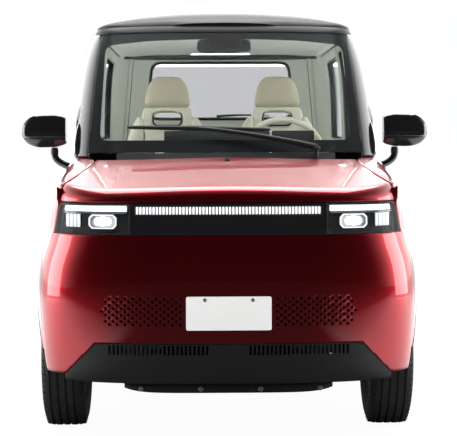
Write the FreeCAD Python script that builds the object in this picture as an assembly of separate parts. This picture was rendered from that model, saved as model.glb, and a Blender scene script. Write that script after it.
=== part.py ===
import FreeCAD, Part
import math
import os
from FreeCAD import Vector

# Small two-door electric car with a hatch. Millimetres, +Z up, front towards -Y, driver on +X.
# The origin is on the ground, at mid length and mid width.

# Overall sizes
body_length = 2950.0
body_half_width = 688.0
sill_bottom = 225.0
sill_width = 90.0
belt_height = 1030.0
roof_rim_height = 1545.0
roof_rise = 75.0

# Wheels and axles
wheelbase = 1880.0
front_axle_y = -930.0
wheel_centre_x = 600.0
tyre_radius = 266.0
tyre_width = 155.0
rim_radius = 165.0
rim_width = 118.0
rim_wall = 9.0
ring_facets = 40
arch_radius = 314.0
liner_outer_radius = 324.0
arch_trim_proud = 2.0
liner_thickness = 8.0
rear_liner_outer_x = 626.0
spindle_radius = 17.0
kingpin_x = 500.0
kingpin_radius = 10.0
arm_height = 168.0
arm_thickness = 16.0
strut_foot_height = 340.0
strut_top_x = 430.0
strut_top_z = 740.0
strut_radius = 20.0
spring_radius = 44.0
steering_arm_y = -825.0
rack_housing_radius = 22.0
rack_radius = 9.0
subframe_low = 190.0
subframe_top = 235.0

# Walls
door_thickness = 60.0
frame_thickness = 34.0
skin_thickness = 14.0
hood_thickness = 16.0
roof_thickness = 26.0
glass_thickness = 5.0
floor_thickness = 18.0
floor_height = 222.0

# Clearances
shut_gap = 6.0
rear_door_gap = 9.0
seam_gap = 0.6
seat_clearance = 0.3
window_clearance = 0.6
pin_clearance = 0.06
sewing_tolerance = 0.05

# Doors
door_front_y = -590.0
door_rear_y = 400.0
door_bottom = 330.0
door_top = 1508.0
door_hinge_x = 636.0
door_hinge_y = -562.0
door_swing_radius = 59.0
door_well_depth = 26.0
door_hinge_heights = (500.0, 690.0)
hinge_knuckle_radius = 8.0
hinge_knuckle_height = 16.0
hinge_pin_radius = 4.0
hinge_arm_length = 92.0
hinge_arm_turn = 20.0
hinge_pillar_top = 860.0
sail_top_y = -165.0
door_window_low = 1062.0
door_window_top = 1474.0
door_window_front_low = -497.0
door_window_front_high = -128.0
door_window_rear = 350.0
window_corner = 24.0

# Quarter window
quarter_window_front = 470.0
quarter_window_rear_low = 1080.0
quarter_window_rear_high = 1010.0
quarter_window_low = 1080.0
quarter_window_top = 1462.0

# Nose
fascia_bottom = 255.0
apron_top = 373.0
apron_bottom = 235.0
apron_half_top = 462.0
apron_half_bottom = 575.0
slot_width = 14.0
slot_pitch = 29.0
slot_first_x = 88.0
slot_count = 12
slot_low = 335.0
lamp_bottom = 744.0
lamp_top = 853.0
lamp_inner_x = 340.0
nose_side_y = -1254.0
lamp_bar_depth = 40.0
lens_thickness = 4.0
lamp_depth = 56.0
slat_places = (520.0, 534.0, 548.0, 562.0)
light_unit_middle = (434.0, 789.0)
light_unit_half = (50.0, 26.0)
light_unit_corner = 13.0
hood_hinge_y = -905.0
hood_hinge_z = 970.0
hood_rear_offset = 50.0
hood_rear_half = 492.0
hood_round = 48.0
plate_width = 293.0
plate_height = 118.0
plate_low = 419.0
plate_thickness = 3.0

# Windscreen
windscreen_base = 1023.0
windscreen_top = 1516.0
windscreen_edge_base = 529.0
windscreen_edge_top = 519.0

# Tail
tailgate_half_width = 505.0
tailgate_bottom = 600.0
tailgate_top = 1508.0
tailgate_hinge_y = 1318.0
tailgate_hinge_z = 1512.5
tailgate_hinge_x = 150.0
rear_window_half_low = 400.0
rear_window_half_high = 372.0
rear_window_low = 1190.0
rear_window_top = 1470.0
bumper_bottom = 330.0
rear_lamp_low = 640.0
rear_lamp_high = 960.0
rear_lamp_front_y = 1300.0
rear_lamp_inner_x = 525.0
bumper_front_y = 1290.0
tailgate_thickness = 45.0
tailgate_pin_radius = 3.0
battery_bottom = 165.0
rim_window_count = 6
rim_window_width = 46.0
rim_window_low = 84.0
rim_window_high = 134.0
rim_disc_x = 34.0
rim_hub_radius = 42.0
rim_hub_depth = 40.0
tyre_shoulder = 24.0
light_bar_half = 318.0
light_bar_low = 814.0
light_bar_high = 841.0
light_rib_count = 56
light_rib_depth = 7.0
column_shaft_radius = 15.0
column_cover_radius = 30.0
mirror_y = -540.0
mirror_low = 1040.0
mirror_high = 1178.0
mirror_inner_x = 636.0
mirror_outer_x = 816.0
mirror_pivot_x = 668.0
mirror_foot_z = 966.0
wiper_pivot_x = 341.0
wiper_pivot_y = -899.0
wiper_spindle_radius = 8.0
wiper_right_x = 171.0
wiper_left_x = -378.0
wiper_height = 1110.0
wiper_slope = 0.02
wiper_radius = 6.0

# Cabin
steering_wheel_x = 248.0
steering_wheel_y = -215.0
steering_wheel_z = 1000.0
steering_wheel_radius = 172.0
steering_rim_radius = 13.0
column_tilt = 24.0
seat_centre_x = 254.0
seat_half_width = 212.0
seat_front_y = -190.0
seat_rear_y = 240.0
seat_base_z = 330.0
seat_cushion_top = 490.0
seat_back_thickness = 95.0
seat_recline = 7.0
head_top_z = 1384.0
dash_half_width = 530.0
toe_board_y = -606.0
upper_board_y = -700.0
board_step_z = 640.0
cowl_floor = 950.0
floor_half_width = 580.6
board_half_width = 545.0
rear_floor_y = 640.0
rear_floor_z = 402.0
rear_floor_half = 490.0

os.makedirs("parts", exist_ok=True)

rear_axle_y = front_axle_y + wheelbase
half_length = body_length / 2

# Plan sizes by height: height, half width, front y, rear y
lower_rows = [(height, body_half_width - side, -half_length + front, half_length - rear)
              for height, side, front, rear in (
    (180, 26, 40, 45), (260, 11, 17, 18), (340, 4, 8, 6), (440, 1, 2, 0), (540, 0, 0, 0), (640, 13, 4, 2),
    (740, 41, 14, 4), (840, 54, 28, 6), (940, 78, 54, 9), (1060, 92, 84, 13))]
lower = {"rows": lower_rows, "front": (420.0, 3.0), "rear": (300.0, 3.2)}
upper_rows = [(960, 601, -975, 1430), (1040, 601, -893, 1418), (1120, 600, -812, 1405), (1200, 597, -728, 1392),
              (1300, 592, -622, 1374), (1400, 583, -515, 1354), (1480, 568, -428, 1337), (1560, 541, -340, 1316)]
upper = {"rows": upper_rows, "front": (330.0, 3.0), "rear": (200.0, 3.0)}

# Hood and fender tops along the car: y, height at the middle
hood_rows = [(-1500, 892), (-1400, 908), (-1220, 948), (-1020, 993), (-860, 1024), (-640, 1046)]
hood_crown = 34.0

# Roof crown along the car: y, share of the rise
roof_rows = [(-380, 0.0), (-300, 0.30), (-180, 0.58), (0, 0.84), (250, 0.98), (500, 1.0), (900, 0.88),
             (1150, 0.64), (1270, 0.40), (1330, 0.0)]


def between(rows, position):
    """Row values at a position, on a smooth curve through the rows."""
    last = len(rows) - 2
    i = 0
    while i < last and position > rows[i + 1][0]:
        i += 1
    low, high = rows[i], rows[i + 1]
    before = rows[max(i - 1, 0)]
    after = rows[min(i + 2, len(rows) - 1)]
    span = high[0] - low[0]
    s = (position - low[0]) / span
    values = []
    for k in range(1, len(low)):
        start_slope = (high[k] - before[k]) / (high[0] - before[0])
        end_slope = (after[k] - low[k]) / (after[0] - low[0])
        values.append((2 * s ** 3 - 3 * s ** 2 + 1) * low[k] + (s ** 3 - 2 * s ** 2 + s) * span * start_slope
                      + (3 * s ** 2 - 2 * s ** 3) * high[k] + (s ** 3 - s ** 2) * span * end_slope)
    return values


def half_outline(body, height, inset):
    """Plan outline of one side, from the middle of the nose round to the middle of the tail."""
    width, front, rear = between(body["rows"], height)
    width -= inset
    front += inset
    rear -= inset
    front_depth, front_power = body["front"]
    rear_depth, rear_power = body["rear"]
    points = []
    for degrees in range(0, 91, 3):
        turn = math.radians(degrees)
        points.append((width * math.sin(turn) ** (2 / front_power),
                       front + front_depth * (1 - abs(math.cos(turn)) ** (2 / front_power))))
    nose_count = len(points)
    for degrees in range(90, -1, -3):
        turn = math.radians(degrees)
        points.append((width * math.sin(turn) ** (2 / rear_power),
                       rear - rear_depth * (1 - abs(math.cos(turn)) ** (2 / rear_power))))
    return points, nose_count


def place_on(points, nose_count, where):
    """Distance along the outline to a place: nose x, side y or tail x."""
    kind, value = where
    run = 0.0
    for i in range(len(points) - 1):
        (x0, y0), (x1, y1) = points[i], points[i + 1]
        length = math.hypot(x1 - x0, y1 - y0)
        share = None
        if kind == "nose" and i < nose_count - 1 and x1 > x0 and x0 <= value <= x1:
            share = (value - x0) / (x1 - x0)
        if kind == "side" and y1 > y0 and y0 <= value <= y1:
            share = (value - y0) / (y1 - y0)
        if kind == "tail" and i >= nose_count and x0 > x1 and x1 <= value <= x0:
            share = (x0 - value) / (x0 - x1)
        if share is not None:
            return run + length * share
        run += length
    return run


def walk(points, start, end, count):
    """Evenly spaced points along a chain of points, between two distances from its start."""
    lengths = [0.0]
    for a, b in zip(points, points[1:]):
        lengths.append(lengths[-1] + math.dist(a, b))
    spaced = []
    i = 0
    for step in range(count):
        target = start + (end - start) * step / (count - 1)
        while i < len(points) - 2 and lengths[i + 1] < target:
            i += 1
        share = (target - lengths[i]) / (lengths[i + 1] - lengths[i])
        spaced.append(tuple(p + (q - p) * share for p, q in zip(points[i], points[i + 1])))
    return spaced


def run(body, height, inset, start, end, count):
    """Evenly spaced points round the body at one height."""
    points, nose_count = half_outline(body, height, inset)
    first = place_on(points, nose_count, start)
    final = place_on(points, nose_count, end)
    return [Vector(x, y, height) for x, y in walk(points, first, final, count)]


def side_x(body, y, height, inset=0.0):
    return run(body, height, inset, ("side", y), ("side", y + 1.0), 2)[0].x


def nose_y(body, x, height, inset=0.0):
    return run(body, height, inset, ("nose", abs(x)), ("nose", abs(x) + 1.0), 2)[0].y


def facets(a, b, c, d):
    """Two flat triangles between four corners."""
    return [Part.Face(Part.makePolygon([a, b, c, a])), Part.Face(Part.makePolygon([a, c, d, a]))]


def skin(outer_lines, inner_lines):
    """Solid panel between an outer and an inner grid of points."""
    faces = []
    last_row, last_column = len(outer_lines) - 1, len(outer_lines[0]) - 1
    for lines in (outer_lines, inner_lines):
        for low, high in zip(lines, lines[1:]):
            for j in range(last_column):
                faces += facets(low[j], low[j + 1], high[j + 1], high[j])
    for i in (0, last_row):
        for j in range(last_column):
            faces += facets(outer_lines[i][j], outer_lines[i][j + 1], inner_lines[i][j + 1], inner_lines[i][j])
    for i in range(last_row):
        for j in (0, last_column):
            faces += facets(outer_lines[i][j], outer_lines[i + 1][j], inner_lines[i + 1][j], inner_lines[i][j])
    return closed_solid(faces)


def closed_solid(faces):
    shell = Part.makeShell(faces)
    shell.sewShape(sewing_tolerance)
    solid = Part.makeSolid(shell)
    if solid.Volume < 0:
        solid.reverse()
    return solid


def steps(first, last, count):
    return [first + (last - first) * i / (count - 1) for i in range(count)]


def at(value, height):
    return value(height) if callable(value) else value


def wall(body, low, high, rows, start, end, count, thickness, inset=0.0, both=False):
    """Panel that follows the body between two heights and two places round it."""
    layers = []
    for depth in (inset, inset + thickness):
        lines = []
        for height in steps(low, high, rows):
            first = (start[0], at(start[1], height))
            final = (end[0], at(end[1], height))
            line = run(body, height, depth, first, final, count)
            if both and line[0].x < line[-1].x:
                line = [Vector(-p.x, p.y, p.z) for p in reversed(line[1:])] + line
            elif both:
                line = line + [Vector(-p.x, p.y, p.z) for p in reversed(line[:-1])]
            lines.append(line)
        layers.append(lines)
    return skin(layers[0], layers[1])


def mirrored(shape):
    return shape.mirror(Vector(0, 0, 0), Vector(1, 0, 0))


def pair(shape):
    return Part.makeCompound([shape, mirrored(shape)])


def box(x0, x1, y0, y1, z0, z1):
    return Part.makeBox(x1 - x0, y1 - y0, z1 - z0, Vector(x0, y0, z0))


def soft_box(x0, x1, y0, y1, z0, z1, bevel):
    block = box(x0, x1, y0, y1, z0, z1)
    return block.makeChamfer(bevel, block.Edges)


def rod(start, end, radius, sides=0):
    """Round bar, or one with flat sides whose corners lie on the radius."""
    axis = end - start
    if not sides:
        return Part.makeCylinder(radius, axis.Length, start, axis)
    turns = [2 * math.pi * i / sides for i in range(sides + 1)]
    outline = Part.makePolygon([Vector(radius * math.cos(turn), radius * math.sin(turn), 0) for turn in turns])
    bar = Part.Face(outline).extrude(Vector(0, 0, axis.Length))
    bar.Placement = FreeCAD.Placement(start, FreeCAD.Rotation(Vector(0, 0, 1), axis))
    return bar


def across(radius, x0, x1, y, z, sides=0):
    return rod(Vector(x0, y, z), Vector(x1, y, z), radius, sides)


def upright(radius, x, y, z0, z1, sides=0):
    return rod(Vector(x, y, z0), Vector(x, y, z1), radius, sides)


def prism(points, direction, radius=0.0):
    """Solid swept along a direction from a closed outline, with its long edges rounded."""
    solid = Part.Face(Part.makePolygon(list(points) + [points[0]])).extrude(direction)
    if radius:
        solid = solid.makeFillet(radius, [e for e in solid.Edges if abs(e.Length - direction.Length) < 0.01])
    return solid


def side_prism(outline, x0, x1, radius=0.0):
    return prism([Vector(x0, y, z) for y, z in outline], Vector(x1 - x0, 0, 0), radius)


def end_prism(outline, y0, y1, radius=0.0):
    return prism([Vector(x, y0, z) for x, z in outline], Vector(0, y1 - y0, 0), radius)


def grown(outline, amount):
    """Outline of four points moved outwards from its middle by an amount on each axis."""
    middle = [sum(p[k] for p in outline) / len(outline) for k in (0, 1)]
    return [tuple(p[k] + amount * math.copysign(1, p[k] - middle[k]) for k in (0, 1)) for p in outline]


def save(name, shape):
    solids = shape.Solids
    good = all(s.isValid() and s.isClosed() for s in solids)
    print(name, len(solids), "ok" if good else "BROKEN", round(shape.Volume / 1e6, 2))
    result = solids[0] if len(solids) == 1 else Part.makeCompound(solids)
    result.exportStep("parts/" + name + ".step")


def sail_y(height):
    """Rear edge of the fixed pillar, which leans back with the windscreen."""
    return door_front_y + (sail_top_y - door_front_y) * (height - belt_height) / (door_top - belt_height)


def windscreen_edge(height):
    share = (height - windscreen_base) / (windscreen_top - windscreen_base)
    return windscreen_edge_base + (windscreen_edge_top - windscreen_edge_base) * share


def wheel_arch(axle_y):
    return across(arch_radius, 300, 800, axle_y, tyre_radius)


def door_swing(gap):
    """Space that the front edge of the door sweeps about its hinge line."""
    return upright(door_swing_radius + gap, door_hinge_x, door_hinge_y, 0, roof_rim_height)


def hood_z(x, y):
    return between(hood_rows, y)[0] - hood_crown * (x / 600.0) ** 2


def hood_side_x(y, rim_end):
    """Side shut line of the hood, from the windscreen out to the end of the lamp."""
    share = max(0.0, (y - hood_hinge_y) / (rim_end.y - hood_hinge_y))
    return hood_rear_half + (rim_end.x - hood_rear_half) * share ** 1.6


def make_fascia():
    panel = wall(lower, fascia_bottom, lamp_bottom - seam_gap, 6, ("nose", 0), ("side", nose_side_y - seam_gap), 9,
                 skin_thickness, both=True)
    apron = end_prism([(-apron_half_bottom, 150), (apron_half_bottom, 150), (apron_half_bottom, fascia_bottom),
                       (apron_half_top, apron_top), (-apron_half_top, apron_top),
                       (-apron_half_bottom, fascia_bottom)], -1600, -1000)
    return panel.cut(apron).cut(pair(wheel_arch(front_axle_y)))


def make_apron():
    low, top = apron_bottom, apron_top - seam_gap
    panel = wall(lower, low, top, 3, ("nose", 0), ("nose", apron_half_bottom + 10), 7, skin_thickness, 4, both=True)
    half_low, half_top = apron_half_bottom - seam_gap, apron_half_top - seam_gap
    zone = end_prism([(-half_low, low - 9), (half_low, low - 9), (half_low, fascia_bottom - seam_gap),
                      (half_top, top + 1), (-half_top, top + 1), (-half_low, fascia_bottom - seam_gap)], -1600, -1000)
    panel = panel.common(zone)
    for side in (-1, 1):
        for i in range(slot_count):
            middle = side * (slot_first_x + slot_pitch * i)
            panel = panel.cut(box(middle - slot_width / 2, middle + slot_width / 2, -1600, -1200, slot_low, top - 4))
    return panel


def make_hood():
    layers = []
    for depth in (0.0, hood_thickness):
        rim = run(lower, lamp_top + seam_gap, depth, ("nose", 0), ("side", nose_side_y - seam_gap), 6)
        rim = [Vector(-p.x, p.y, p.z) for p in reversed(rim[1:])] + rim
        lines = []
        for i, end in enumerate(rim):
            u = i / (len(rim) - 1) * 2 - 1
            rear_x = hood_rear_half * u
            rear = nose_y(upper, rear_x, windscreen_base) - hood_rear_offset
            chain = []
            for step in range(81):
                v = 1 - (1 - step / 80) ** 2
                x = rear_x + (end.x - rear_x) * v ** 1.6
                y = rear + (end.y - rear) * v
                top = hood_z(x, y) - depth
                distance = math.hypot(x - end.x, y - end.y)
                fall = 1 - math.sqrt(max(0.0, 1 - max(0.0, 1 - distance / hood_round) ** 2))
                chain.append((x, y, top - (top - end.z) * fall))
            length = sum(math.dist(a, b) for a, b in zip(chain, chain[1:]))
            lines.append([Vector(*p) for p in walk(chain, 0, length, 10)])
        layers.append(lines)
    hood = skin(layers[0], layers[1])
    lug = box(451, 459, -960, hood_hinge_y, hood_hinge_z - 8, hood_hinge_z + 8).fuse(
        across(8, 451, 459, hood_hinge_y, hood_hinge_z))
    lug = lug.cut(across(hinge_pin_radius + pin_clearance, 440, 470, hood_hinge_y, hood_hinge_z))
    return hood.fuse([lug, mirrored(lug)])


def make_fender():
    rim_end = run(lower, lamp_top, 0, ("nose", 0), ("side", nose_side_y), 2)[1]
    shoulder_rows = [(-1300, 606), (nose_side_y, hood_side_x(nose_side_y, rim_end) + shut_gap),
                     (-1150, hood_side_x(-1150, rim_end) + shut_gap),
                     (-1000, hood_side_x(-1000, rim_end) + shut_gap),
                     (-905, hood_rear_half + shut_gap), (-800, 536), (-720, 578), (-580, 600)]
    layers = []
    for depth in (0.0, skin_thickness):
        lines = []
        for y in steps(nose_side_y, door_front_y - shut_gap, 10):
            shut = between(shoulder_rows, y)[0]
            edge = side_x(lower, y, 800)
            top = hood_z(edge, y)
            wall_top = top - 52
            base = side_x(lower, y, wall_top)
            reach = min(46.0, max(6.0, base - shut - 4))
            chain = [(max(shut, side_x(lower, y, z, depth)), y, z) for z in steps(door_bottom, wall_top, 14)]
            for degrees in range(6, 91, 6):
                turn = math.radians(degrees)
                chain.append((max(shut + 4, base - depth - (reach - depth * 0.4) * (1 - math.cos(turn))), y,
                              wall_top + (hood_z(base - reach, y) - wall_top - depth) * math.sin(turn)))
            inner_x = chain[-1][0]
            for share in (0.25, 0.5, 0.75, 1.0):
                x = inner_x - (inner_x - shut) * share
                chain.append((x, y, hood_z(x, y) - depth))
            length = sum(math.dist(a, b) for a, b in zip(chain, chain[1:]))
            lines.append([Vector(*p) for p in walk(chain, 0, length, 13)])
        layers.append(lines)
    panel = skin(layers[0], layers[1])
    return panel.cut(wheel_arch(front_axle_y)).cut(door_swing(shut_gap))


def lamp_panel(thickness, inset, trim=0.0):
    """Part of the nose surface that one lamp takes up, from its inner edge round to the side."""
    return wall(lower, lamp_bottom + trim, lamp_top - trim, 3, ("nose", lamp_inner_x + seam_gap + trim),
                ("side", nose_side_y - seam_gap - trim), 6, thickness, inset)


def make_lamp_bar():
    return wall(lower, lamp_bottom, lamp_top, 3, ("nose", 0), ("nose", lamp_inner_x), 7, lamp_bar_depth, both=True)


def make_lamp_housing():
    return lamp_panel(lamp_depth, lens_thickness + seat_clearance).cut(lamp_panel(30, 1.0, 6.0))


def make_windscreen():
    return wall(upper, windscreen_base, windscreen_top, 5, ("nose", 0),
                ("nose", lambda z: windscreen_edge(z) - seam_gap), 6, glass_thickness, 2, both=True)


def make_front_pillar():
    pillar = wall(upper, windscreen_base - 12, windscreen_top, 6, ("nose", windscreen_edge), ("side", sail_y), 4,
                  frame_thickness)
    return pillar.cut(door_swing(shut_gap))


def make_roof():
    layers = []
    for depth in (0.0, roof_thickness):
        front_edge = run(upper, roof_rim_height, 0, ("nose", 0), ("side", -150), 6)
        rear_edge = run(upper, roof_rim_height, 0, ("side", 1200), ("tail", 0), 6)
        lines = []
        for side in (-1, 1):
            for i in range(6):
                k = i if side > 0 else 5 - i
                if side > 0 and k == 0:
                    continue
                start, end = front_edge[k], rear_edge[5 - k]
                chain = []
                for step in range(61):
                    v = step / 60
                    y = start.y + (end.y - start.y) * v
                    limit = side_x(upper, min(max(y, -351), 1317), roof_rim_height)
                    bow = start.x + (end.x - start.x) * v
                    outer = (limit - bow) * (k / 5) ** 6 if 0 < v < 1 else 0
                    x = bow + outer
                    a = min(1.0, x / max(limit, 1.0))
                    lift = roof_rise * max(0.0, between(roof_rows, y)[0]) * math.sqrt(max(0.0, 1 - a ** 2))
                    chain.append((side * x, y, roof_rim_height + lift - depth))
                length = sum(math.dist(a, b) for a, b in zip(chain, chain[1:]))
                lines.append([Vector(*p) for p in walk(chain, 0, length, 14)])
        layers.append(lines)
    return skin(layers[0], layers[1])


def make_door_panel():
    panel = wall(lower, door_bottom, belt_height - seam_gap, 7, ("side", door_front_y - 40), ("side", door_rear_y), 6,
                 door_thickness)
    ahead = box(400, 800, -800, door_hinge_y, 0, 1200).cut(door_swing(0))
    well = wall(lower, door_bottom - 20, belt_height - 40, 4, ("side", -760), ("side", door_hinge_y + door_well_depth), 2,
                140, 11)
    arch = across(liner_outer_radius + shut_gap, 300, 800, front_axle_y, tyre_radius)
    panel = panel.cut([ahead, well, arch])
    for height in door_hinge_heights:
        low = height + hinge_knuckle_height / 2
        leaf = upright(hinge_knuckle_radius, door_hinge_x, door_hinge_y, low, low + hinge_knuckle_height, 12)
        leaf = leaf.fuse(box(door_hinge_x - 6, door_hinge_x + 6, door_hinge_y, door_hinge_y + door_well_depth + 4,
                             low, low + hinge_knuckle_height))
        leaf = leaf.cut(upright(hinge_pin_radius + pin_clearance, door_hinge_x, door_hinge_y, low - 5,
                                low + hinge_knuckle_height + 5))
        panel = panel.fuse(leaf)
    return panel


def make_door_hinge():
    """Fixed arms and pins of one door's two hinges."""
    arms = []
    for height in door_hinge_heights:
        low = height - hinge_knuckle_height / 2
        arm = upright(hinge_knuckle_radius, door_hinge_x, door_hinge_y, low, height + hinge_knuckle_height / 2, 12)
        bar = box(-hinge_arm_length, 0, -6, 6, 0, hinge_knuckle_height)
        bar.rotate(Vector(0, 0, 0), Vector(0, 0, 1), hinge_arm_turn)
        bar.translate(Vector(door_hinge_x, door_hinge_y, low))
        pin = upright(hinge_pin_radius, door_hinge_x, door_hinge_y, low, height + 1.5 * hinge_knuckle_height + 2, 8)
        arms.append(arm.fuse([bar, pin]))
    return arms


def make_door_frame():
    frame = wall(upper, belt_height, door_top, 6, ("side", lambda z: sail_y(z) + shut_gap), ("side", door_rear_y), 8,
                 frame_thickness)
    hole = side_prism(door_window, 400, 800, window_corner)
    ahead = box(400, 800, -800, door_hinge_y, 0, 1600).cut(door_swing(0))
    return frame.cut(hole).cut(ahead)


door_window = [(door_window_front_low, door_window_low), (door_window_rear, door_window_low),
               (door_window_rear, door_window_top), (door_window_front_high, door_window_top)]
quarter_window = [(quarter_window_front, quarter_window_low), (quarter_window_rear_low, quarter_window_low + 8),
                  (quarter_window_rear_high, quarter_window_top), (quarter_window_front, quarter_window_top)]
rear_window = [(-rear_window_half_low, rear_window_low), (rear_window_half_low, rear_window_low),
               (rear_window_half_high, rear_window_top), (-rear_window_half_high, rear_window_top)]


def make_side_glass(outline, start, end, inset):
    sheet = wall(upper, 1050, 1490, 4, ("side", start), ("side", end), 5, glass_thickness, inset)
    return sheet.common(side_prism(grown(outline, -window_clearance), 400, 800, window_corner))


def tailgate_side(height):
    """Half width of the tailgate, which narrows above the belt line."""
    return tailgate_half_width - 0.1 * max(0.0, height - belt_height)


def make_quarter():
    """Rear quarter of one side, from the door round to the tailgate."""
    quarter = wall(lower, door_bottom - 4, belt_height - seam_gap, 7, ("side", door_rear_y + rear_door_gap),
                   ("tail", tailgate_half_width + shut_gap), 12, door_thickness)
    bumper = box(0, 800, bumper_front_y - seam_gap, 1600, 0, tailgate_bottom)
    lamp = quarter.common(rear_lamp_zone(seam_gap))
    wheel_house = across(liner_outer_radius + seat_clearance, 300, rear_liner_outer_x + seat_clearance, rear_axle_y,
                         tyre_radius)
    return quarter.cut([bumper, wheel_arch(rear_axle_y), wheel_house, rear_lamp_zone(0)]), lamp


def rear_lamp_zone(trim):
    return box(rear_lamp_inner_x + trim, 800, rear_lamp_front_y + trim, 1600, rear_lamp_low + trim,
               rear_lamp_high - trim)


def make_sill():
    return wall(lower, sill_bottom, door_bottom - shut_gap, 3, ("side", front_axle_y + liner_outer_radius + seam_gap),
                ("side", rear_axle_y - liner_outer_radius - seam_gap), 6, sill_width)


def make_hinge_pillar():
    pillar = box(board_half_width + seat_clearance, 606, upper_board_y, toe_board_y + 24,
                 door_bottom - shut_gap + seat_clearance, hinge_pillar_top)
    liner = across(liner_outer_radius + seam_gap, 300, 800, front_axle_y, tyre_radius)
    return pillar.cut([door_swing(shut_gap), liner]).fuse(make_door_hinge())


def make_quarter_frame():
    frame = wall(upper, belt_height, roof_rim_height - roof_thickness, 6, ("side", door_rear_y + rear_door_gap),
                 ("tail", lambda z: tailgate_side(z) + shut_gap), 12, frame_thickness)
    return frame.cut(side_prism(quarter_window, 400, 800, window_corner))


def make_tailgate_panel():
    return wall(lower, tailgate_bottom + shut_gap, belt_height - seam_gap, 5, ("tail", tailgate_half_width), ("tail", 0), 4,
                tailgate_thickness, both=True)


def tailgate_hinge(part):
    """Gate's lug, or the roof's lugs and pin, of one tailgate hinge."""
    y, z = tailgate_hinge_y, tailgate_hinge_z
    inner, outer = tailgate_hinge_x, tailgate_hinge_x + 50
    if part == "gate":
        lug = across(6, inner + 8, outer - 8, y, z).fuse(box(inner + 8, outer - 8, y - 6, y + 3, tailgate_top - 2, z))
        return lug.cut(across(tailgate_pin_radius + pin_clearance, inner, outer, y, z))
    pin = across(tailgate_pin_radius, inner - 5, outer + 5, y, z)
    ears = [box(x - 5, x + 5, y - 10, y + 2, z - 3, roof_rim_height - roof_thickness + 3) for x in (inner, outer)]
    return pin.fuse(ears)


def make_tailgate_frame():
    frame = wall(upper, belt_height, tailgate_top, 6, ("tail", tailgate_side), ("tail", 0), 5, frame_thickness, both=True)
    frame = frame.cut(end_prism(rear_window, 1200, 1500, 30))
    lug = tailgate_hinge("gate")
    return frame.fuse([lug, mirrored(lug)])


def make_tailgate_glass():
    sheet = wall(upper, rear_window_low - 20, rear_window_top + 15, 4, ("tail", rear_window_half_low + 20), ("tail", 0), 4,
                 glass_thickness, 8, both=True)
    return sheet.common(end_prism(grown(rear_window, -seat_clearance), 1200, 1500, 30 - seat_clearance))


def make_bumper(low, high, inset, thickness):
    return wall(lower, low, high, 4, ("side", bumper_front_y), ("tail", 0), 9, thickness, inset, both=True)


def make_frame_rails():
    """Front rails with the crash beam, cross member and strut towers."""
    rail = box(300, 350, -1404, toe_board_y, 400, 460)
    post = box(300, 350, -960, -900, subframe_top, 400)
    tower = box(340, 352, -1000, -860, 460, strut_top_z + 17)
    shelf = box(352, 500, -1000, -860, strut_top_z + 5, strut_top_z + 17)
    half = rail.fuse([post, tower, shelf])
    cross = box(-350, 350, -1010, -800, subframe_low, subframe_top)
    beam = wall(lower, 415, 500, 3, ("nose", 0), ("nose", 430), 4, 34, skin_thickness + 6, both=True)
    brace = box(300, 350, -1425, -1400, 420, 455)
    return cross.fuse([half, mirrored(half), beam, brace, mirrored(brace)])


def make_front_arm():
    outline = [Vector(350, -1000, arm_height), Vector(350, -860, arm_height), Vector(520, -908, arm_height),
               Vector(520, -952, arm_height)]
    arm = prism(outline, Vector(0, 0, arm_thickness))
    arm = arm.fuse(box(300, 352, -1000, -860, arm_height, subframe_low))
    return arm.cut(upright(kingpin_radius + pin_clearance, kingpin_x, front_axle_y, 100, 300))


def make_strut():
    foot = Vector(kingpin_x, front_axle_y, strut_foot_height + 12)
    top = Vector(strut_top_x, front_axle_y, strut_top_z)
    axis = top - foot
    body = rod(foot, top, strut_radius, 12)
    bracket = upright(24, kingpin_x - 2, front_axle_y, strut_foot_height, strut_foot_height + 22, 12)
    spring = rod(foot + axis * 0.52, foot + axis * 0.94, spring_radius, 16)
    mount = upright(30, strut_top_x, front_axle_y, strut_top_z - 12, strut_top_z + 5, 12)
    strut = body.fuse([bracket, spring, mount])
    return strut.cut(upright(kingpin_radius + pin_clearance, kingpin_x, front_axle_y, 300, strut_foot_height + 14))


def make_knuckle():
    upright_block = box(482, 513, -958, -902, arm_height + arm_thickness + 2, strut_foot_height - 2)
    pin = upright(kingpin_radius, kingpin_x, front_axle_y, arm_height - 4, strut_foot_height + 13, 12)
    spindle = across(spindle_radius, 505, wheel_centre_x + 8, front_axle_y, tyre_radius, 16)
    flange = across(42, 512, 522, front_axle_y, tyre_radius, 20)
    arm = box(470, 490, -905, steering_arm_y + 14, 226, subframe_top + rack_housing_radius - rack_radius - 1)
    return upright_block.fuse([pin, spindle, flange, arm])


def make_rack_housing():
    housing = across(rack_housing_radius, -250, 250, steering_arm_y, subframe_top + rack_housing_radius + 0.2, 16)
    return housing.cut(across(rack_radius + pin_clearance, -300, 300, steering_arm_y,
                              subframe_top + rack_housing_radius + 0.2))


def ring_solid(profile, count):
    """Ring of flat faces about the X axis from a closed profile of x and radius."""
    faces = []
    for (x0, r0), (x1, r1) in zip(profile, profile[1:] + profile[:1]):
        for i in range(count):
            turn, following = 2 * math.pi * i / count, 2 * math.pi * (i + 1) / count
            corners = [Vector(x0, r0 * math.cos(turn), r0 * math.sin(turn)),
                       Vector(x1, r1 * math.cos(turn), r1 * math.sin(turn)),
                       Vector(x1, r1 * math.cos(following), r1 * math.sin(following)),
                       Vector(x0, r0 * math.cos(following), r0 * math.sin(following))]
            faces.append(Part.Face(Part.makePolygon(corners + corners[:1])))
    return closed_solid(faces)


def wheel_ring(profile, side, axle_y):
    """Ring about one wheel's axis, its profile measured outwards from the middle of the wheel."""
    ring = ring_solid([(side * x, r) for x, r in profile], ring_facets)
    ring.translate(Vector(side * wheel_centre_x, axle_y, tyre_radius))
    return ring


def make_tyre(side, axle_y):
    half = tyre_width / 2
    shoulder = half - tyre_shoulder
    return wheel_ring([(-half, rim_radius), (half, rim_radius), (half, tyre_radius - tyre_shoulder),
                       (shoulder, tyre_radius), (-shoulder, tyre_radius), (-half, tyre_radius - tyre_shoulder)],
                      side, axle_y)


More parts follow.
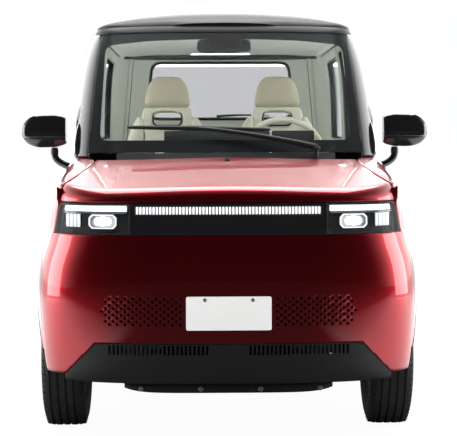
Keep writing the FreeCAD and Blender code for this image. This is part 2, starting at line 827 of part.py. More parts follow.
def make_rim(side, axle_y):
    """Wheel with a flat disc, windows round it, and a hub bored for the spindle."""
    half = rim_width / 2
    outer = rim_radius - seat_clearance
    inner = outer - rim_wall
    bore = spindle_radius + pin_clearance
    rim = wheel_ring([(-half, outer), (half, outer), (half, inner), (rim_disc_x, inner), (rim_disc_x, bore),
                      (-rim_hub_depth, bore), (-rim_hub_depth, rim_hub_radius),
                      (rim_disc_x - rim_wall, rim_hub_radius), (rim_disc_x - rim_wall, inner), (-half, inner)],
                     side, axle_y)
    windows = []
    for i in range(rim_window_count):
        window = box(-80, 80, -rim_window_width / 2, rim_window_width / 2, rim_window_low, rim_window_high)
        window.translate(Vector(side * wheel_centre_x, axle_y, tyre_radius))
        window.rotate(Vector(0, axle_y, tyre_radius), Vector(1, 0, 0), 360 / rim_window_count * i)
        windows.append(window)
    return rim.cut(windows)


def make_rear_axle():
    beam = box(-470, 470, rear_axle_y - 22, rear_axle_y + 22, 244, 290)
    parts = []
    for side in (-1, 1):
        inner, outer = sorted((side * 440, side * 480))
        parts.append(box(inner, outer, rear_floor_y + 2 + seat_clearance, rear_axle_y + 30, 244, 290))
        start, end = sorted((side * 460, side * (wheel_centre_x + 8)))
        parts.append(across(spindle_radius, start, end, rear_axle_y, tyre_radius, 16))
        near, far = sorted((side * 478, side * 522))
        parts.append(across(42, near, far, rear_axle_y, tyre_radius, 20))
    return beam.fuse(parts)


def make_floor():
    """Flat cabin floor, stepped up over the rear axle, with the stepped board in front of the feet."""
    side = floor_half_width
    flat = box(-side, side, toe_board_y, rear_floor_y, floor_height, floor_height + floor_thickness)
    step = box(-rear_floor_half, rear_floor_half, rear_floor_y - 16, rear_floor_y + 2, floor_height,
               rear_floor_z + floor_thickness)
    rear = box(-rear_floor_half, rear_floor_half, rear_floor_y, 1370, rear_floor_z, rear_floor_z + floor_thickness)
    lip = box(-300, 300, 1370, 1427.9, rear_floor_z, rear_floor_z + floor_thickness)
    half = board_half_width
    toe = box(-half, half, toe_board_y, toe_board_y + 14, floor_height, board_step_z)
    toe = toe.fuse(box(-side, side, toe_board_y, toe_board_y + 14, floor_height, door_bottom - shut_gap))
    shelf = box(-half, half, upper_board_y, toe_board_y + 14, board_step_z - 14, board_step_z)
    board = box(-half, half, upper_board_y, upper_board_y + 14, board_step_z - 14, cowl_floor)
    return flat.fuse([step, rear, lip, toe, shelf, board])


def make_front_liner():
    ring = across(liner_outer_radius, 372, 672, front_axle_y, tyre_radius)
    ring = ring.cut(across(liner_outer_radius - liner_thickness, 300, 800, front_axle_y, tyre_radius))
    edge = [Vector(side_x(lower, y, 540, 28), y, 0) for y in steps(-1256, -606, 8)]
    zone = prism(edge + [Vector(300, -606, 0), Vector(300, -1256, 0)], Vector(0, 0, 800))
    strut_gap = box(300, 515, -1010, -850, 400, 700)
    rail_gap = box(296, 420, -1300, toe_board_y, 380, 480)
    return ring.common(zone).cut([strut_gap, rail_gap, door_swing(shut_gap), box(300, 700, -1400, -500, -200, 292)])


def make_rear_liner():
    ring = across(liner_outer_radius, 498, rear_liner_outer_x, rear_axle_y, tyre_radius)
    hollow = across(liner_outer_radius - liner_thickness, 506, 800, rear_axle_y, tyre_radius)
    axle_hole = across(60, 400, 700, rear_axle_y, tyre_radius)
    return ring.cut([hollow, axle_hole, box(400, 800, 500, 1400, -200, 300)])


def make_arch_trim(axle_y):
    """Thin edging round one wheel arch, standing just proud of the body side."""
    band = wall(lower, sill_bottom + 12, arch_radius + tyre_radius + 6, 6, ("side", axle_y - arch_radius - 6),
                ("side", axle_y + arch_radius + 6), 9, 21, -arch_trim_proud)
    ring = across(arch_radius - 0.5, 300, 800, axle_y, tyre_radius).cut(
        across(arch_radius - 9, 300, 800, axle_y, tyre_radius))
    return band.common(ring)


def make_cowl():
    half = board_half_width
    plate = box(-half, half, -985, upper_board_y + 14, cowl_floor, cowl_floor + 12)
    plate = plate.cut(box(-half, half, -1000, hood_hinge_y - 22, cowl_floor + 6, 970))
    pocket = box(435, 470, -1000, -890, cowl_floor + 6, 970)
    plate = plate.cut([pocket, mirrored(pocket)])
    lip = wall(upper, 962, windscreen_base - seam_gap, 3, ("nose", 0), ("nose", 415), 5, 10, 3, both=True)
    lug = across(8, 441, 449, hood_hinge_y, hood_hinge_z).fuse(box(441, 449, hood_hinge_y - 8, hood_hinge_y + 8, cowl_floor + 2,
                                                               hood_hinge_z))
    pin = across(hinge_pin_radius, 441, 460, hood_hinge_y, hood_hinge_z)
    arm = lug.fuse(pin)
    spindle_hole = upright(wiper_spindle_radius + seat_clearance, wiper_pivot_x, wiper_pivot_y, cowl_floor + 12, 1100)
    return plate.fuse([arm, mirrored(arm), lip.cut(spindle_hole)])


def make_bay_tub():
    """Plain covered tray under the hood, between the rails and the lamps."""
    tray = box(-470, 470, -1280, -1010, 640, 652)
    rim = box(-470, 470, -1280, -1010, 652, 760).cut(box(-458, 458, -1268, -1022, 640, 800))
    legs = [box(x, x + 40, -1270, -1060, 460, 640) for x in (-345, 305)]
    return tray.fuse([rim] + legs)


def make_dashboard():
    back = upper_board_y + 14 + seat_clearance
    base = cowl_floor + 12 + seat_clearance
    outline = [(-740, base), (-740, 1004), (-520, 1050), (-452, 1034), (-428, 960), (-470, 800), (-560, 762),
               (back, 762), (back, base)]
    tunnel = Part.makeCylinder(column_cover_radius + seat_clearance, 200, Vector(0, -264, 0), Vector(0, 1, 0))
    return side_prism(outline, -dash_half_width, dash_half_width).cut(column_frame(tunnel))


def make_displays():
    screens = [box(-245, 182, -512, -498, 1048.5, 1109), box(190, 362, -512, -498, 1048.5, 1109)]
    return Part.makeCompound(screens)


def column_frame(shape):
    """Move a shape made round the Y axis at the origin to the steering column."""
    shape.rotate(Vector(0, 0, 0), Vector(1, 0, 0), column_tilt)
    shape.translate(Vector(steering_wheel_x, steering_wheel_y, steering_wheel_z))
    return shape


def make_steering_wheel():
    r = steering_rim_radius
    turns = [math.radians(degrees) for degrees in range(30, 390, 60)]
    rim = ring_solid([(r * math.sin(turn), steering_wheel_radius + r * math.cos(turn)) for turn in turns],
                     ring_facets)
    rim.rotate(Vector(0, 0, 0), Vector(0, 0, 1), 90)
    hub = rod(Vector(0, -34, 0), Vector(0, 6, 0), 46, 20)
    spokes = [box(-steering_wheel_radius, steering_wheel_radius, -9, 3, -14, 14), box(-14, 14, -9, 3, -170, 0)]
    bore = Part.makeCylinder(column_shaft_radius + pin_clearance, 26, Vector(0, -34, 0), Vector(0, 1, 0))
    return column_frame(rim.fuse([hub] + spokes).cut(bore))


def make_column():
    shaft = rod(Vector(0, -80, 0), Vector(0, -10, 0), column_shaft_radius, 16)
    cover = rod(Vector(0, -262, 0), Vector(0, -45, 0), column_cover_radius, 16)
    return column_frame(shaft.fuse(cover))


def make_pedals():
    pedals = []
    for x, width in ((215, 50), (300, 44)):
        pad = box(x - width / 2, x + width / 2, -566, -556, 300, 372)
        arm = box(x - 6, x + 6, -572, -562, 340, board_step_z - 14)
        pedals.append(pad.fuse([arm, box(x - 10, x + 10, toe_board_y + 14, -562, board_step_z - 50, board_step_z - 14)]))
    return Part.makeCompound(pedals)


def make_seat_base():
    return soft_box(seat_centre_x - 170, seat_centre_x + 170, -150, 220, floor_height + floor_thickness,
                    seat_base_z - seat_clearance, 12)


def make_seat_cushion():
    return soft_box(seat_centre_x - seat_half_width, seat_centre_x + seat_half_width, seat_front_y, seat_rear_y,
                    seat_base_z, seat_cushion_top, 28)


def make_seat_back():
    low = seat_cushion_top - 90
    half = [(seat_half_width - 12, low), (seat_half_width, 860), (seat_half_width - 20, 1010), (150, 1110), (98, 1180),
            (86, head_top_z - 40), (60, head_top_z)]
    outline = [(-x, z) for x, z in half] + [(x, z) for x, z in reversed(half)]
    back = end_prism(outline, 0, seat_back_thickness)
    front_edges = [e for e in back.Edges if e.BoundBox.YLength < 1]
    back = back.makeChamfer(24, front_edges)
    hole = end_prism([(-63, 1152), (63, 1152), (63, 1217), (-63, 1217)], -20, 200, 30)
    back = back.cut(hole)
    back.rotate(Vector(0, 0, low), Vector(1, 0, 0), -seat_recline)
    back.translate(Vector(seat_centre_x, seat_rear_y - 2.6, 0))
    return back


def make_bench():
    floor_top = rear_floor_z + floor_thickness
    base = soft_box(-484, 484, rear_floor_y + 4, 1000, floor_top + seat_clearance, floor_top + 120, 24)
    back = soft_box(-484, 484, 0, 90, 0, 420, 24)
    back.rotate(Vector(0, 0, 0), Vector(1, 0, 0), -10)
    back.translate(Vector(0, 1006, floor_top + 11.8))
    return Part.makeCompound([base, back])


def make_cabin_trim():
    pieces = []
    for x in (-420, 90):
        pins = [upright(5, x + dx, -300, 1500, 1600) for dx in (30, 300)]
        pieces.append(box(x, x + 330, -310, -170, 1494, 1504).fuse(pins))
    pieces.append(soft_box(-115, 115, -352, -330, 1436, 1488, 6).fuse(upright(7, 0, -340, 1484, 1600)))
    trimmed = [piece.cut(roof).Solids for piece in pieces]
    return Part.makeCompound([min(solids, key=lambda solid: solid.BoundBox.ZMin) for solids in trimmed])


def make_plate():
    return box(-plate_width / 2, plate_width / 2, -half_length - plate_thickness - seam_gap, -half_length - seam_gap, plate_low,
               plate_low + plate_height)


def make_wiper():
    """Arm from its pivot on the cowl, and a blade that follows the windscreen."""
    blade_points = []
    for x in steps(wiper_right_x, wiper_left_x, 5):
        z = wiper_height + (wiper_right_x - x) * wiper_slope
        blade_points.append(Vector(x, nose_y(upper, x, z, 2) - 2 * wiper_radius, z))
    blade = [rod(p, q, wiper_radius, 6) for p, q in zip(blade_points, blade_points[1:])]
    pivot = upright(wiper_spindle_radius, wiper_pivot_x, wiper_pivot_y, cowl_floor + 12, 1034, 10)
    head = soft_box(wiper_pivot_x - 16, wiper_pivot_x + 16, wiper_pivot_y - 15, wiper_pivot_y + 13, 1034, 1046, 3)
    arm = rod(Vector(wiper_pivot_x, wiper_pivot_y, 1040), blade_points[2], 5, 6)
    return pivot.fuse([head, arm] + blade)


def make_mirror(panel):
    """Head on its stub, and the curved stalk down to the door."""
    head = soft_box(mirror_inner_x, mirror_outer_x, mirror_y - 42, mirror_y + 34, mirror_low, mirror_high, 22)
    stub = upright(13, mirror_pivot_x, mirror_y, mirror_low - 26, mirror_low - seat_clearance, 10)
    foot = Vector(side_x(lower, mirror_y, mirror_foot_z) - 14, mirror_y, mirror_foot_z)
    bend = Vector(mirror_pivot_x, mirror_y, mirror_foot_z + 20)
    stalk = rod(Vector(mirror_pivot_x, mirror_y, mirror_low - 26), bend, 13, 10).fuse([rod(bend, foot, 13, 10)])
    outside = stub.fuse(stalk).cut(panel).Solids
    return Part.makeCompound([head, max(outside, key=lambda solid: solid.Volume)])


def lamp_box(x, half, low, high, near, far):
    """Block inside the left lamp, between two depths behind the lamp's face."""
    y = nose_y(lower, x, (lamp_bottom + lamp_top) / 2)
    return box(x - half, x + half, y + near, y + far, low, high)


def make_lamp_slats(housing):
    """Upright slats at the outer end of one lamp and the eight-sided light unit, all standing on the housing."""
    ahead_of_slats = lamp_panel(lens_thickness + 34, -30)
    slats = [lamp_box(x, 5, 770, 818, 14, 60).cut([housing, ahead_of_slats]) for x in slat_places]
    middle_x, middle_z = light_unit_middle
    half_x, half_z = light_unit_half
    cut = light_unit_corner
    outline = [(middle_x + sx * u, middle_z + sz * w) for sx, sz, u, w in (
        (-1, -1, half_x - cut, half_z), (1, -1, half_x - cut, half_z), (1, -1, half_x, half_z - cut),
        (1, 1, half_x, half_z - cut), (1, 1, half_x - cut, half_z), (-1, 1, half_x - cut, half_z),
        (-1, 1, half_x, half_z - cut), (-1, -1, half_x, half_z - cut))]
    face = nose_y(lower, middle_x + half_x, middle_z) + lens_thickness + 6
    return slats + [end_prism(outline, face, face + 40).cut(housing)]



def make_light_bar():
    """Light strip across the lamp panel, with upright flutes over its whole front."""
    front = []
    back = []
    for height in (light_bar_low, light_bar_high):
        crest, groove = (run(lower, height, depth, ("nose", 0), ("nose", light_bar_half), light_rib_count + 1)
                         for depth in (1.0, 1.0 + light_rib_depth))
        half = [(crest if i % 2 else groove)[i] for i in range(light_rib_count + 1)]
        front.append([Vector(-p.x, p.y, p.z) for p in reversed(half[1:])] + half)
        half = run(lower, height, 17, ("nose", 0), ("nose", light_bar_half), light_rib_count + 1)
        back.append([Vector(-p.x, p.y, p.z) for p in reversed(half[1:])] + half)
    return skin(front, back)


print("nose")
save("front_fascia", make_fascia())
save("lower_apron", make_apron())
save("hood", make_hood())
front_pillar = make_front_pillar()
save("fenders", pair(make_fender().cut(front_pillar)))
recess = wall(lower, light_bar_low - seat_clearance, light_bar_high + seat_clearance, 2, ("nose", 0),
              ("nose", light_bar_half + seat_clearance), 7, 19, -1.7,
              both=True)
save("lamp_bar", make_lamp_bar().cut(recess))
save("light_strip", make_light_bar())
housing = make_lamp_housing()
save("headlamp_housings", pair(housing))
save("headlamp_lenses", pair(lamp_panel(lens_thickness, 0.0)))
save("lamp_slats", pair(Part.makeCompound(make_lamp_slats(housing))))
save("windscreen", make_windscreen())
save("front_pillars", pair(front_pillar))
hinge = tailgate_hinge("roof")
roof = make_roof()
save("roof_panel", roof.fuse([hinge, mirrored(hinge)]))
save("cowl", make_cowl())
save("number_plate", make_plate())
save("wiper", make_wiper())
print("doors")
door_panel = make_door_panel()
door = {"panel": door_panel, "frame": make_door_frame(),
        "glass": make_side_glass(door_window, lambda z: sail_y(z) + 12, 380, 12), "mirror": make_mirror(door_panel)}
for piece, shape in door.items():
    save("door_left_" + piece, shape)
    save("door_right_" + piece, mirrored(shape))
print("sides and tail")
quarter_panel, rear_lamp = make_quarter()
save("quarter_panels", pair(quarter_panel))
save("rear_lamps", pair(rear_lamp))
save("sills", pair(make_sill()))
save("quarter_frames", pair(make_quarter_frame()))
save("quarter_glass", pair(make_side_glass(quarter_window, 430, 1110, 8)))
save("tailgate_panel", make_tailgate_panel())
save("tailgate_frame", make_tailgate_frame())
save("tailgate_glass", make_tailgate_glass())
save("rear_bumper", make_bumper(bumper_bottom, tailgate_bottom - seam_gap, 0.0, 36))
save("rear_skirt", make_bumper(apron_bottom, bumper_bottom - seam_gap, 4.0, 32))
print("underside")
save("chassis_frame", Part.makeCompound([make_frame_rails(), pair(make_hinge_pillar()), pair(make_seat_base())]))
save("floor_pan", make_floor())
save("battery_pack", box(-420, 420, -480, 600, battery_bottom, floor_height))
rear_spring = upright(spring_radius, 400, rear_axle_y, 290, rear_floor_z, 16)
save("suspension", Part.makeCompound([pair(make_front_arm()), pair(make_strut()), pair(rear_spring),
                                      make_rack_housing()]))
save("rack_bar", across(rack_radius, -482, 482, steering_arm_y, subframe_top + rack_housing_radius + 0.2, 12))
motor = box(-140, 140, rear_axle_y + 22, rear_axle_y + 260, 210, rear_floor_z)
save("rear_axle", make_rear_axle().fuse(motor))
save("arch_liners", Part.makeCompound([pair(make_front_liner()), pair(make_rear_liner()), make_bay_tub()]))
save("arch_trims", Part.makeCompound([pair(make_arch_trim(y)) for y in (front_axle_y, rear_axle_y)]))
print("cabin")
save("dashboard", make_dashboard())
save("steering_column", make_column())
save("steering_wheel", make_steering_wheel())
save("dash_fittings", Part.makeCompound([make_displays(), make_pedals()]))
save("seat_cushions", pair(make_seat_cushion()))
save("seat_backs", pair(make_seat_back()))
save("rear_bench", make_bench())
save("cabin_trim", make_cabin_trim())
print("wheels")
knuckle = make_knuckle()
save("knuckle_left", knuckle)
save("knuckle_right", mirrored(knuckle))
for end, axle_y in (("front", front_axle_y), ("rear", rear_axle_y)):
    for name, side in (("left", 1), ("right", -1)):
        save("tyre_" + end + "_" + name, make_tyre(side, axle_y))
        save("rim_" + end + "_" + name, make_rim(side, axle_y))
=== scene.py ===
import math
import bmesh
import bpy
from mathutils import Matrix, Vector


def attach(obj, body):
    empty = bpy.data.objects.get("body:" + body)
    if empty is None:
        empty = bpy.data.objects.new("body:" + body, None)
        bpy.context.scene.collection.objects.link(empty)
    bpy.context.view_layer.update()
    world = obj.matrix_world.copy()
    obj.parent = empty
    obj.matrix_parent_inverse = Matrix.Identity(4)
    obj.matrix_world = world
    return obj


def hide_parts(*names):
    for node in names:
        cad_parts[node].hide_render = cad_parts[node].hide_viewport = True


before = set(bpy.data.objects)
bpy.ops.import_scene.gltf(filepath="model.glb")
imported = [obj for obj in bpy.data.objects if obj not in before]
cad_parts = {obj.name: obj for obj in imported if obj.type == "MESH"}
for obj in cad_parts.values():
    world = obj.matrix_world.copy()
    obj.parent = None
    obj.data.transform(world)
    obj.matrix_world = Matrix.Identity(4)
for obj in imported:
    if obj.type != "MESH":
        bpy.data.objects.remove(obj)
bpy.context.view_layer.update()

mm = 0.001

# body shape, the same forms as the solids, in mm
def between(rows, position):
    last = len(rows) - 2
    i = 0
    while i < last and position > rows[i + 1][0]:
        i += 1
    low, high = rows[i], rows[i + 1]
    before, after = rows[max(i - 1, 0)], rows[min(i + 2, len(rows) - 1)]
    span = high[0] - low[0]
    s = (position - low[0]) / span
    values = []
    for k in range(1, len(low)):
        m0 = (high[k] - before[k]) / (high[0] - before[0])
        m1 = (after[k] - low[k]) / (after[0] - low[0])
        values.append((2 * s ** 3 - 3 * s ** 2 + 1) * low[k] + (s ** 3 - 2 * s ** 2 + s) * span * m0
                      + (3 * s ** 2 - 2 * s ** 3) * high[k] + (s ** 3 - s ** 2) * span * m1)
    return values


lowerRows = [(z, 688.0 - side, -1475.0 + front, 1475.0 - rear) for z, side, front, rear in (
    (180, 26, 40, 45), (260, 11, 17, 18), (340, 4, 8, 6), (440, 1, 2, 0), (540, 0, 0, 0), (640, 13, 4, 2),
    (740, 41, 14, 4), (840, 54, 28, 6), (940, 78, 54, 9), (1060, 92, 84, 13))]
lower = {"rows": lowerRows, "front": (420.0, 3.0), "rear": (300.0, 3.2)}
upperRows = [(960, 601, -975, 1430), (1040, 601, -893, 1418), (1120, 600, -812, 1405), (1200, 597, -728, 1392),
             (1300, 592, -622, 1374), (1400, 583, -515, 1354), (1480, 568, -428, 1337), (1560, 541, -340, 1316)]
upper = {"rows": upperRows, "front": (330.0, 3.0), "rear": (200.0, 3.0)}
hoodRows = [(-1500, 892), (-1400, 908), (-1220, 948), (-1020, 993), (-860, 1024), (-640, 1046)]
roofRows = [(-380, 0.0), (-300, 0.40), (-180, 0.72), (0, 0.93), (250, 1.0), (500, 1.0), (900, 0.88),
            (1150, 0.64), (1270, 0.40), (1330, 0.0)]
car = {"frontAxle": -930.0, "rearAxle": 950.0, "wheelX": 600.0, "tyre": 266.0, "arch": 314.0, "belt": 1030.0,
       "roofRim": 1545.0, "roofRise": 92.0, "shut": 6.0, "doorFront": -590.0, "doorRear": 400.0, "doorLow": 330.0,
       "hingeX": 636.0, "hingeY": -562.0, "swing": 59.0, "noseSide": -1254.0, "lampLow": 744.0, "lampTop": 853.0,
       "lampInner": 340.0, "sillLow": 225.0, "quarterFront": 409.0, "gateHalf": 505.0}


# a place on the outline: a width on the nose or the tail, or a length along the side
def nose(x=0):
    return "nose", x


def side(y):
    return "side", y


def tail(x=0):
    return "tail", x


def halfOutline(body, height, inset, step=1.5):
    width, front, rear = between(body["rows"], height)
    width, front, rear = width - inset, front + inset, rear - inset
    points = []
    count = int(90 / step)
    for edge, way, (depth, power), order in ((front, 1, body["front"], range(count + 1)),
                                             (rear, -1, body["rear"], range(count, -1, -1))):
        for k in order:
            turn = math.radians(k * step)
            points.append((width * math.sin(turn) ** (2 / power),
                           edge + way * depth * (1 - abs(math.cos(turn)) ** (2 / power))))
    return points, count + 1


def placeOn(points, noseCount, where):
    kind, value = where
    run = 0.0
    for i, ((x0, y0), (x1, y1)) in enumerate(zip(points, points[1:])):
        length = math.hypot(x1 - x0, y1 - y0)
        if kind == "nose" and i < noseCount - 1 and x1 > x0 and x0 <= value <= x1:
            return run + length * ((value - x0) / (x1 - x0))
        if kind == "side" and y1 > y0 and y0 <= value <= y1:
            return run + length * ((value - y0) / (y1 - y0))
        if kind == "tail" and i >= noseCount and x0 > x1 and x1 <= value <= x0:
            return run + length * ((x0 - value) / (x0 - x1))
        run += length
    return run


def walk(points, start, end, count):
    lengths = [0.0]
    for a, b in zip(points, points[1:]):
        lengths.append(lengths[-1] + math.dist(a, b))
    spaced = []
    i = 0
    for step in range(count):
        target = start + (end - start) * step / (count - 1)
        while i < len(points) - 2 and lengths[i + 1] < target:
            i += 1
        share = (target - lengths[i]) / (lengths[i + 1] - lengths[i])
        spaced.append(tuple(p + (q - p) * share for p, q in zip(points[i], points[i + 1])))
    return spaced


def evened(chain, count):
    return walk(chain, 0, sum(math.dist(a, b) for a, b in zip(chain, chain[1:])), count)


def runRound(body, height, inset, start, end, count):
    points, noseCount = halfOutline(body, height, inset)
    first, final = (placeOn(points, noseCount, where) for where in (start, end))
    return [(x, y, height) for x, y in walk(points, first, final, count)]


def sideX(body, y, height, inset=0.0):
    return runRound(body, height, inset, side(y), side(y + 1.0), 2)[0][0]


def noseY(body, x, height, inset=0.0):
    return runRound(body, height, inset, nose(abs(x)), nose(abs(x) + 1.0), 2)[0][1]


def tailY(body, x, height, inset=0.0):
    return runRound(body, height, inset, tail(abs(x)), tail(max(abs(x) - 1.0, 0.0)), 2)[0][1]


def steps(first, last, count):
    return [first + (last - first) * i / (count - 1) for i in range(count)]


def mirroredLine(line):
    return [(-x, y, z) for x, y, z in reversed(line)]


def wallLines(body, low, high, start, end, inset=0.0, cell=14.0):
    # rows of points over a wall; one that starts or ends in the middle goes right across
    def at(place, height):
        return place[0], place[1](height) if callable(place[1]) else place[1]
    middle = (low + high) / 2
    points, noseCount = halfOutline(body, middle, inset)
    reach = placeOn(points, noseCount, at(end, middle)) - placeOn(points, noseCount, at(start, middle))
    count = max(3, int(reach / cell) + 1)
    lines = []
    for height in steps(low, high, max(2, int((high - low) / cell) + 1)):
        line = runRound(body, height, inset, at(start, height), at(end, height), count)
        if start[1] == 0:
            line = mirroredLine(line[1:]) + line
        elif end[1] == 0:
            line = line + mirroredLine(line[:-1])
        lines.append(line)
    return lines


# mesh building
def linked(name, data):
    made = bpy.data.objects.new(name, data)
    bpy.context.scene.collection.objects.link(made)
    return made


def meshObject(name, points, faces, scale=mm):
    mesh = bpy.data.meshes.new(name)
    mesh.from_pydata([tuple(c * scale for c in p) for p in points], [], faces)
    mesh.validate()
    return linked(name, mesh)


def gridObject(name, lines, wrapRows=False, wrapColumns=False, caps=()):
    rows, columns = len(lines), len(lines[0])
    faces = []
    for i in range(rows if wrapRows else rows - 1):
        for j in range(columns if wrapColumns else columns - 1):
            n, k = (i + 1) % rows, (j + 1) % columns
            faces.append((i * columns + j, i * columns + k, n * columns + k, n * columns + j))
    return meshObject(name, [p for line in lines for p in line], faces + list(caps))


def settle(made):
    graph = bpy.context.evaluated_depsgraph_get()
    graph.update()
    mesh = bpy.data.meshes.new_from_object(made.evaluated_get(graph))
    old = made.data
    made.modifiers.clear()
    made.data = mesh
    bpy.data.meshes.remove(old)
    return made


def modified(made, kind, **settings):
    step = made.modifiers.new(kind.lower(), kind)
    for key, value in settings.items():
        setattr(step, key, value)
    return settle(made)


def reworked(made, change):
    work = bmesh.new()
    work.from_mesh(made.data)
    change(work)
    work.to_mesh(made.data)
    work.free()
    return made


def outward(made, merge=0.00002):
    def change(work):
        if merge:
            bmesh.ops.remove_doubles(work, verts=work.verts, dist=merge)
        bmesh.ops.recalc_face_normals(work, faces=work.faces)
    return reworked(made, change)


def closedEnds(made):
    def change(work):
        bmesh.ops.holes_fill(work, edges=[e for e in work.edges if e.is_boundary], sides=0)
        bmesh.ops.recalc_face_normals(work, faces=work.faces)
    return reworked(made, change)


def facing(made, axis=2):
    # turns an open sheet's faces along an axis
    if sum(p.normal[axis] * p.area for p in made.data.polygons) < 0:
        made.data.flip_normals()
    return made


def solid(made, thickness):
    return modified(made, "SOLIDIFY", thickness=thickness * mm, offset=-1.0, use_even_offset=True)


def drop(made):
    if made.name in bpy.data.objects:
        mesh = made.data
        bpy.data.objects.remove(made)
        if mesh.users == 0:
            bpy.data.meshes.remove(mesh)


def combine(made, others, operation="DIFFERENCE"):
    for other in others:
        modified(made, "BOOLEAN", operation=operation, solver="EXACT", object=other)
    for other in others:
        drop(other)
    return made


def soften(made, width, segments=2, angle=50.0):
    return modified(made, "BEVEL", width=width * mm, segments=segments, limit_method="ANGLE",
                    angle_limit=math.radians(angle), use_clamp_overlap=True, harden_normals=False)


def coloured(made, look):
    made.data.materials.clear()
    made.data.materials.append(mats[look])
    return made


def worked(made, look=None, edge=None, cut=(), keep=()):
    # trims a new piece, rounds its edges and gives it a finish
    combine(made, keep, "INTERSECT")
    combine(made, cut)
    if edge:
        soften(made, *edge)
    return coloured(made, look) if look else made


def smooth(made, angle=35.0):
    made.data.polygons.foreach_set("use_smooth", [True] * len(made.data.polygons))
    made.data.set_sharp_from_angle(angle=math.radians(angle))
    return made


def moved(made, x, y, z, degrees=0):
    # turned about the x axis, then shifted in mm
    made.data.transform(Matrix.Translation(Vector((x, y, z)) * mm) @ Matrix.Rotation(math.radians(degrees), 4, "X"))
    return made


def copied(made):
    twin = made.copy()
    twin.data = made.data.copy()
    bpy.context.scene.collection.objects.link(twin)
    return twin


def flipped(made, name):
    # mirror image across the middle of the car
    mesh = made.data.copy()
    mesh.transform(Matrix.Scale(-1, 4, (1, 0, 0)))
    mesh.flip_normals()
    return linked(name, mesh)


def joined(name, pieces):
    work = bmesh.new()
    looks = []
    for piece in pieces:
        looks += [m for m in piece.data.materials if m not in looks]
        shift = [looks.index(m) for m in piece.data.materials]
        start = len(work.faces)
        work.from_mesh(piece.data)
        work.faces.ensure_lookup_table()
        if shift:
            for face in work.faces[start:]:
                face.material_index = shift[min(face.material_index, len(shift) - 1)]
    mesh = bpy.data.meshes.new(name)
    work.to_mesh(mesh)
    work.free()
    for m in looks:
        mesh.materials.append(m)
    made = linked(name, mesh)
    for piece in pieces:
        drop(piece)
    made.name = name
    mesh.name = name
    return made


def both(made, name=None):
    return joined(name or made.name, [flipped(made, "twin"), made])


def block(name, x0, x1, y0, y1, z0, z1, **work):
    points = [(x, y, z) for x in (x0, x1) for y in (y0, y1) for z in (z0, z1)]
    faces = [(0, 1, 3, 2), (4, 6, 7, 5), (0, 4, 5, 1), (2, 3, 7, 6), (0, 2, 6, 4), (1, 5, 7, 3)]
    return worked(outward(meshObject(name, points, faces), 0), **work)


def roundedOutline(corners, radius, count=6):
    # closed outline with round corners, from corner points in order
    points = []
    total = len(corners)
    for i in range(total):
        a, b, c = (Vector(corners[(i + k - 1) % total]) for k in range(3))
        size = radius[i] if isinstance(radius, (list, tuple)) else radius
        u, v = (a - b).normalized(), (c - b).normalized()
        reach = size / math.tan(u.angle(v) / 2)
        start, end = b + u * reach, b + v * reach
        for t in steps(0, 1, count + 1):
            points.append(tuple(start * (1 - t) ** 2 + b * 2 * t * (1 - t) + end * t ** 2))
    return points


def roundedBox(x0, x1, z0, z1, radius, count=5):
    return roundedOutline([(x0, z0), (x1, z0), (x1, z1), (x0, z1)], radius, count)


def symmetric(half):
    # closed outline from its right half, bottom to top
    first, *others = half
    return [(-first[0], first[1])] + half + [(-x, z) for x, z in reversed(others)]


def shrunk(outline, amount):
    mid = [sum(p[k] for p in outline) / len(outline) for k in (0, 1)]
    return [tuple(p[k] - amount * math.copysign(1, p[k] - mid[k]) for k in (0, 1)) for p in outline]


def placed(a, b, along, axis):
    # point from two coordinates and a third along an axis
    point = [a, b]
    point.insert("xyz".index(axis), along)
    return tuple(point)


def prism(name, outline, axis, low, high, **work):
    # outline in the other two axes, swept along one axis
    total = len(outline)
    points = [placed(*p, d, axis) for d in (low, high) for p in outline]
    faces = [tuple(range(total)), tuple(range(2 * total - 1, total - 1, -1))]
    faces += [(i, (i + 1) % total, total + (i + 1) % total, total + i) for i in range(total)]
    return worked(outward(meshObject(name, points, faces), 0), **work)


def circle(middle, radius, count=24):
    return [(middle[0] + radius * math.cos(2 * math.pi * i / count),
             middle[1] + radius * math.sin(2 * math.pi * i / count)) for i in range(count)]


def tube(name, path, radius, sides=12, caps=True, **work):
    # round bar along points; the radius may be one number or one for each point
    points = [Vector(p) for p in path]
    rings = []
    across = None
    for i, p in enumerate(points):
        ahead = points[min(i + 1, len(points) - 1)] - points[max(i - 1, 0)]
        ahead.normalize()
        if across is None:
            across = ahead.orthogonal().normalized()
        across = (across - ahead * across.dot(ahead)).normalized()
        up = ahead.cross(across)
        size = radius[i] if isinstance(radius, (list, tuple)) else radius
        rings.append([tuple(p + across * (size * math.cos(2 * math.pi * k / sides))
                            + up * (size * math.sin(2 * math.pi * k / sides))) for k in range(sides)])
    last = (len(rings) - 1) * sides
    ends = [tuple(range(sides - 1, -1, -1)), tuple(last + k for k in range(sides))] if caps else []
    return worked(outward(gridObject(name, rings, wrapColumns=True, caps=ends), 0), **work)


def loopTube(name, path, radius, sides=10, **work):
    return tube(name, path + path[:1], radius, sides, False, **work)


def bezier(a, b, c, d, count):
    a, b, c, d = (Vector(p) for p in (a, b, c, d))
    return [tuple(a * (1 - t) ** 3 + b * 3 * t * (1 - t) ** 2 + c * 3 * t * t * (1 - t) + d * t ** 3)
            for t in steps(0, 1, count)]


def spun(name, profile, axis, middle, count=96, **work):
    # ring about an axis from a profile of distance along it and radius
    lines = []
    for i in range(count):
        c, s = math.cos(2 * math.pi * i / count), math.sin(2 * math.pi * i / count)
        lines.append([tuple(m + d for m, d in zip(middle, placed(radius * c, radius * s, along, axis)))
                      for along, radius in profile])
    return worked(outward(gridObject(name, lines, True, True)), **work)


def wallSkin(name, body, low, high, start, end, thickness, inset=0.0, cell=14.0, **work):
    return worked(solid(gridObject(name, wallLines(body, low, high, start, end, inset, cell)), thickness), **work)


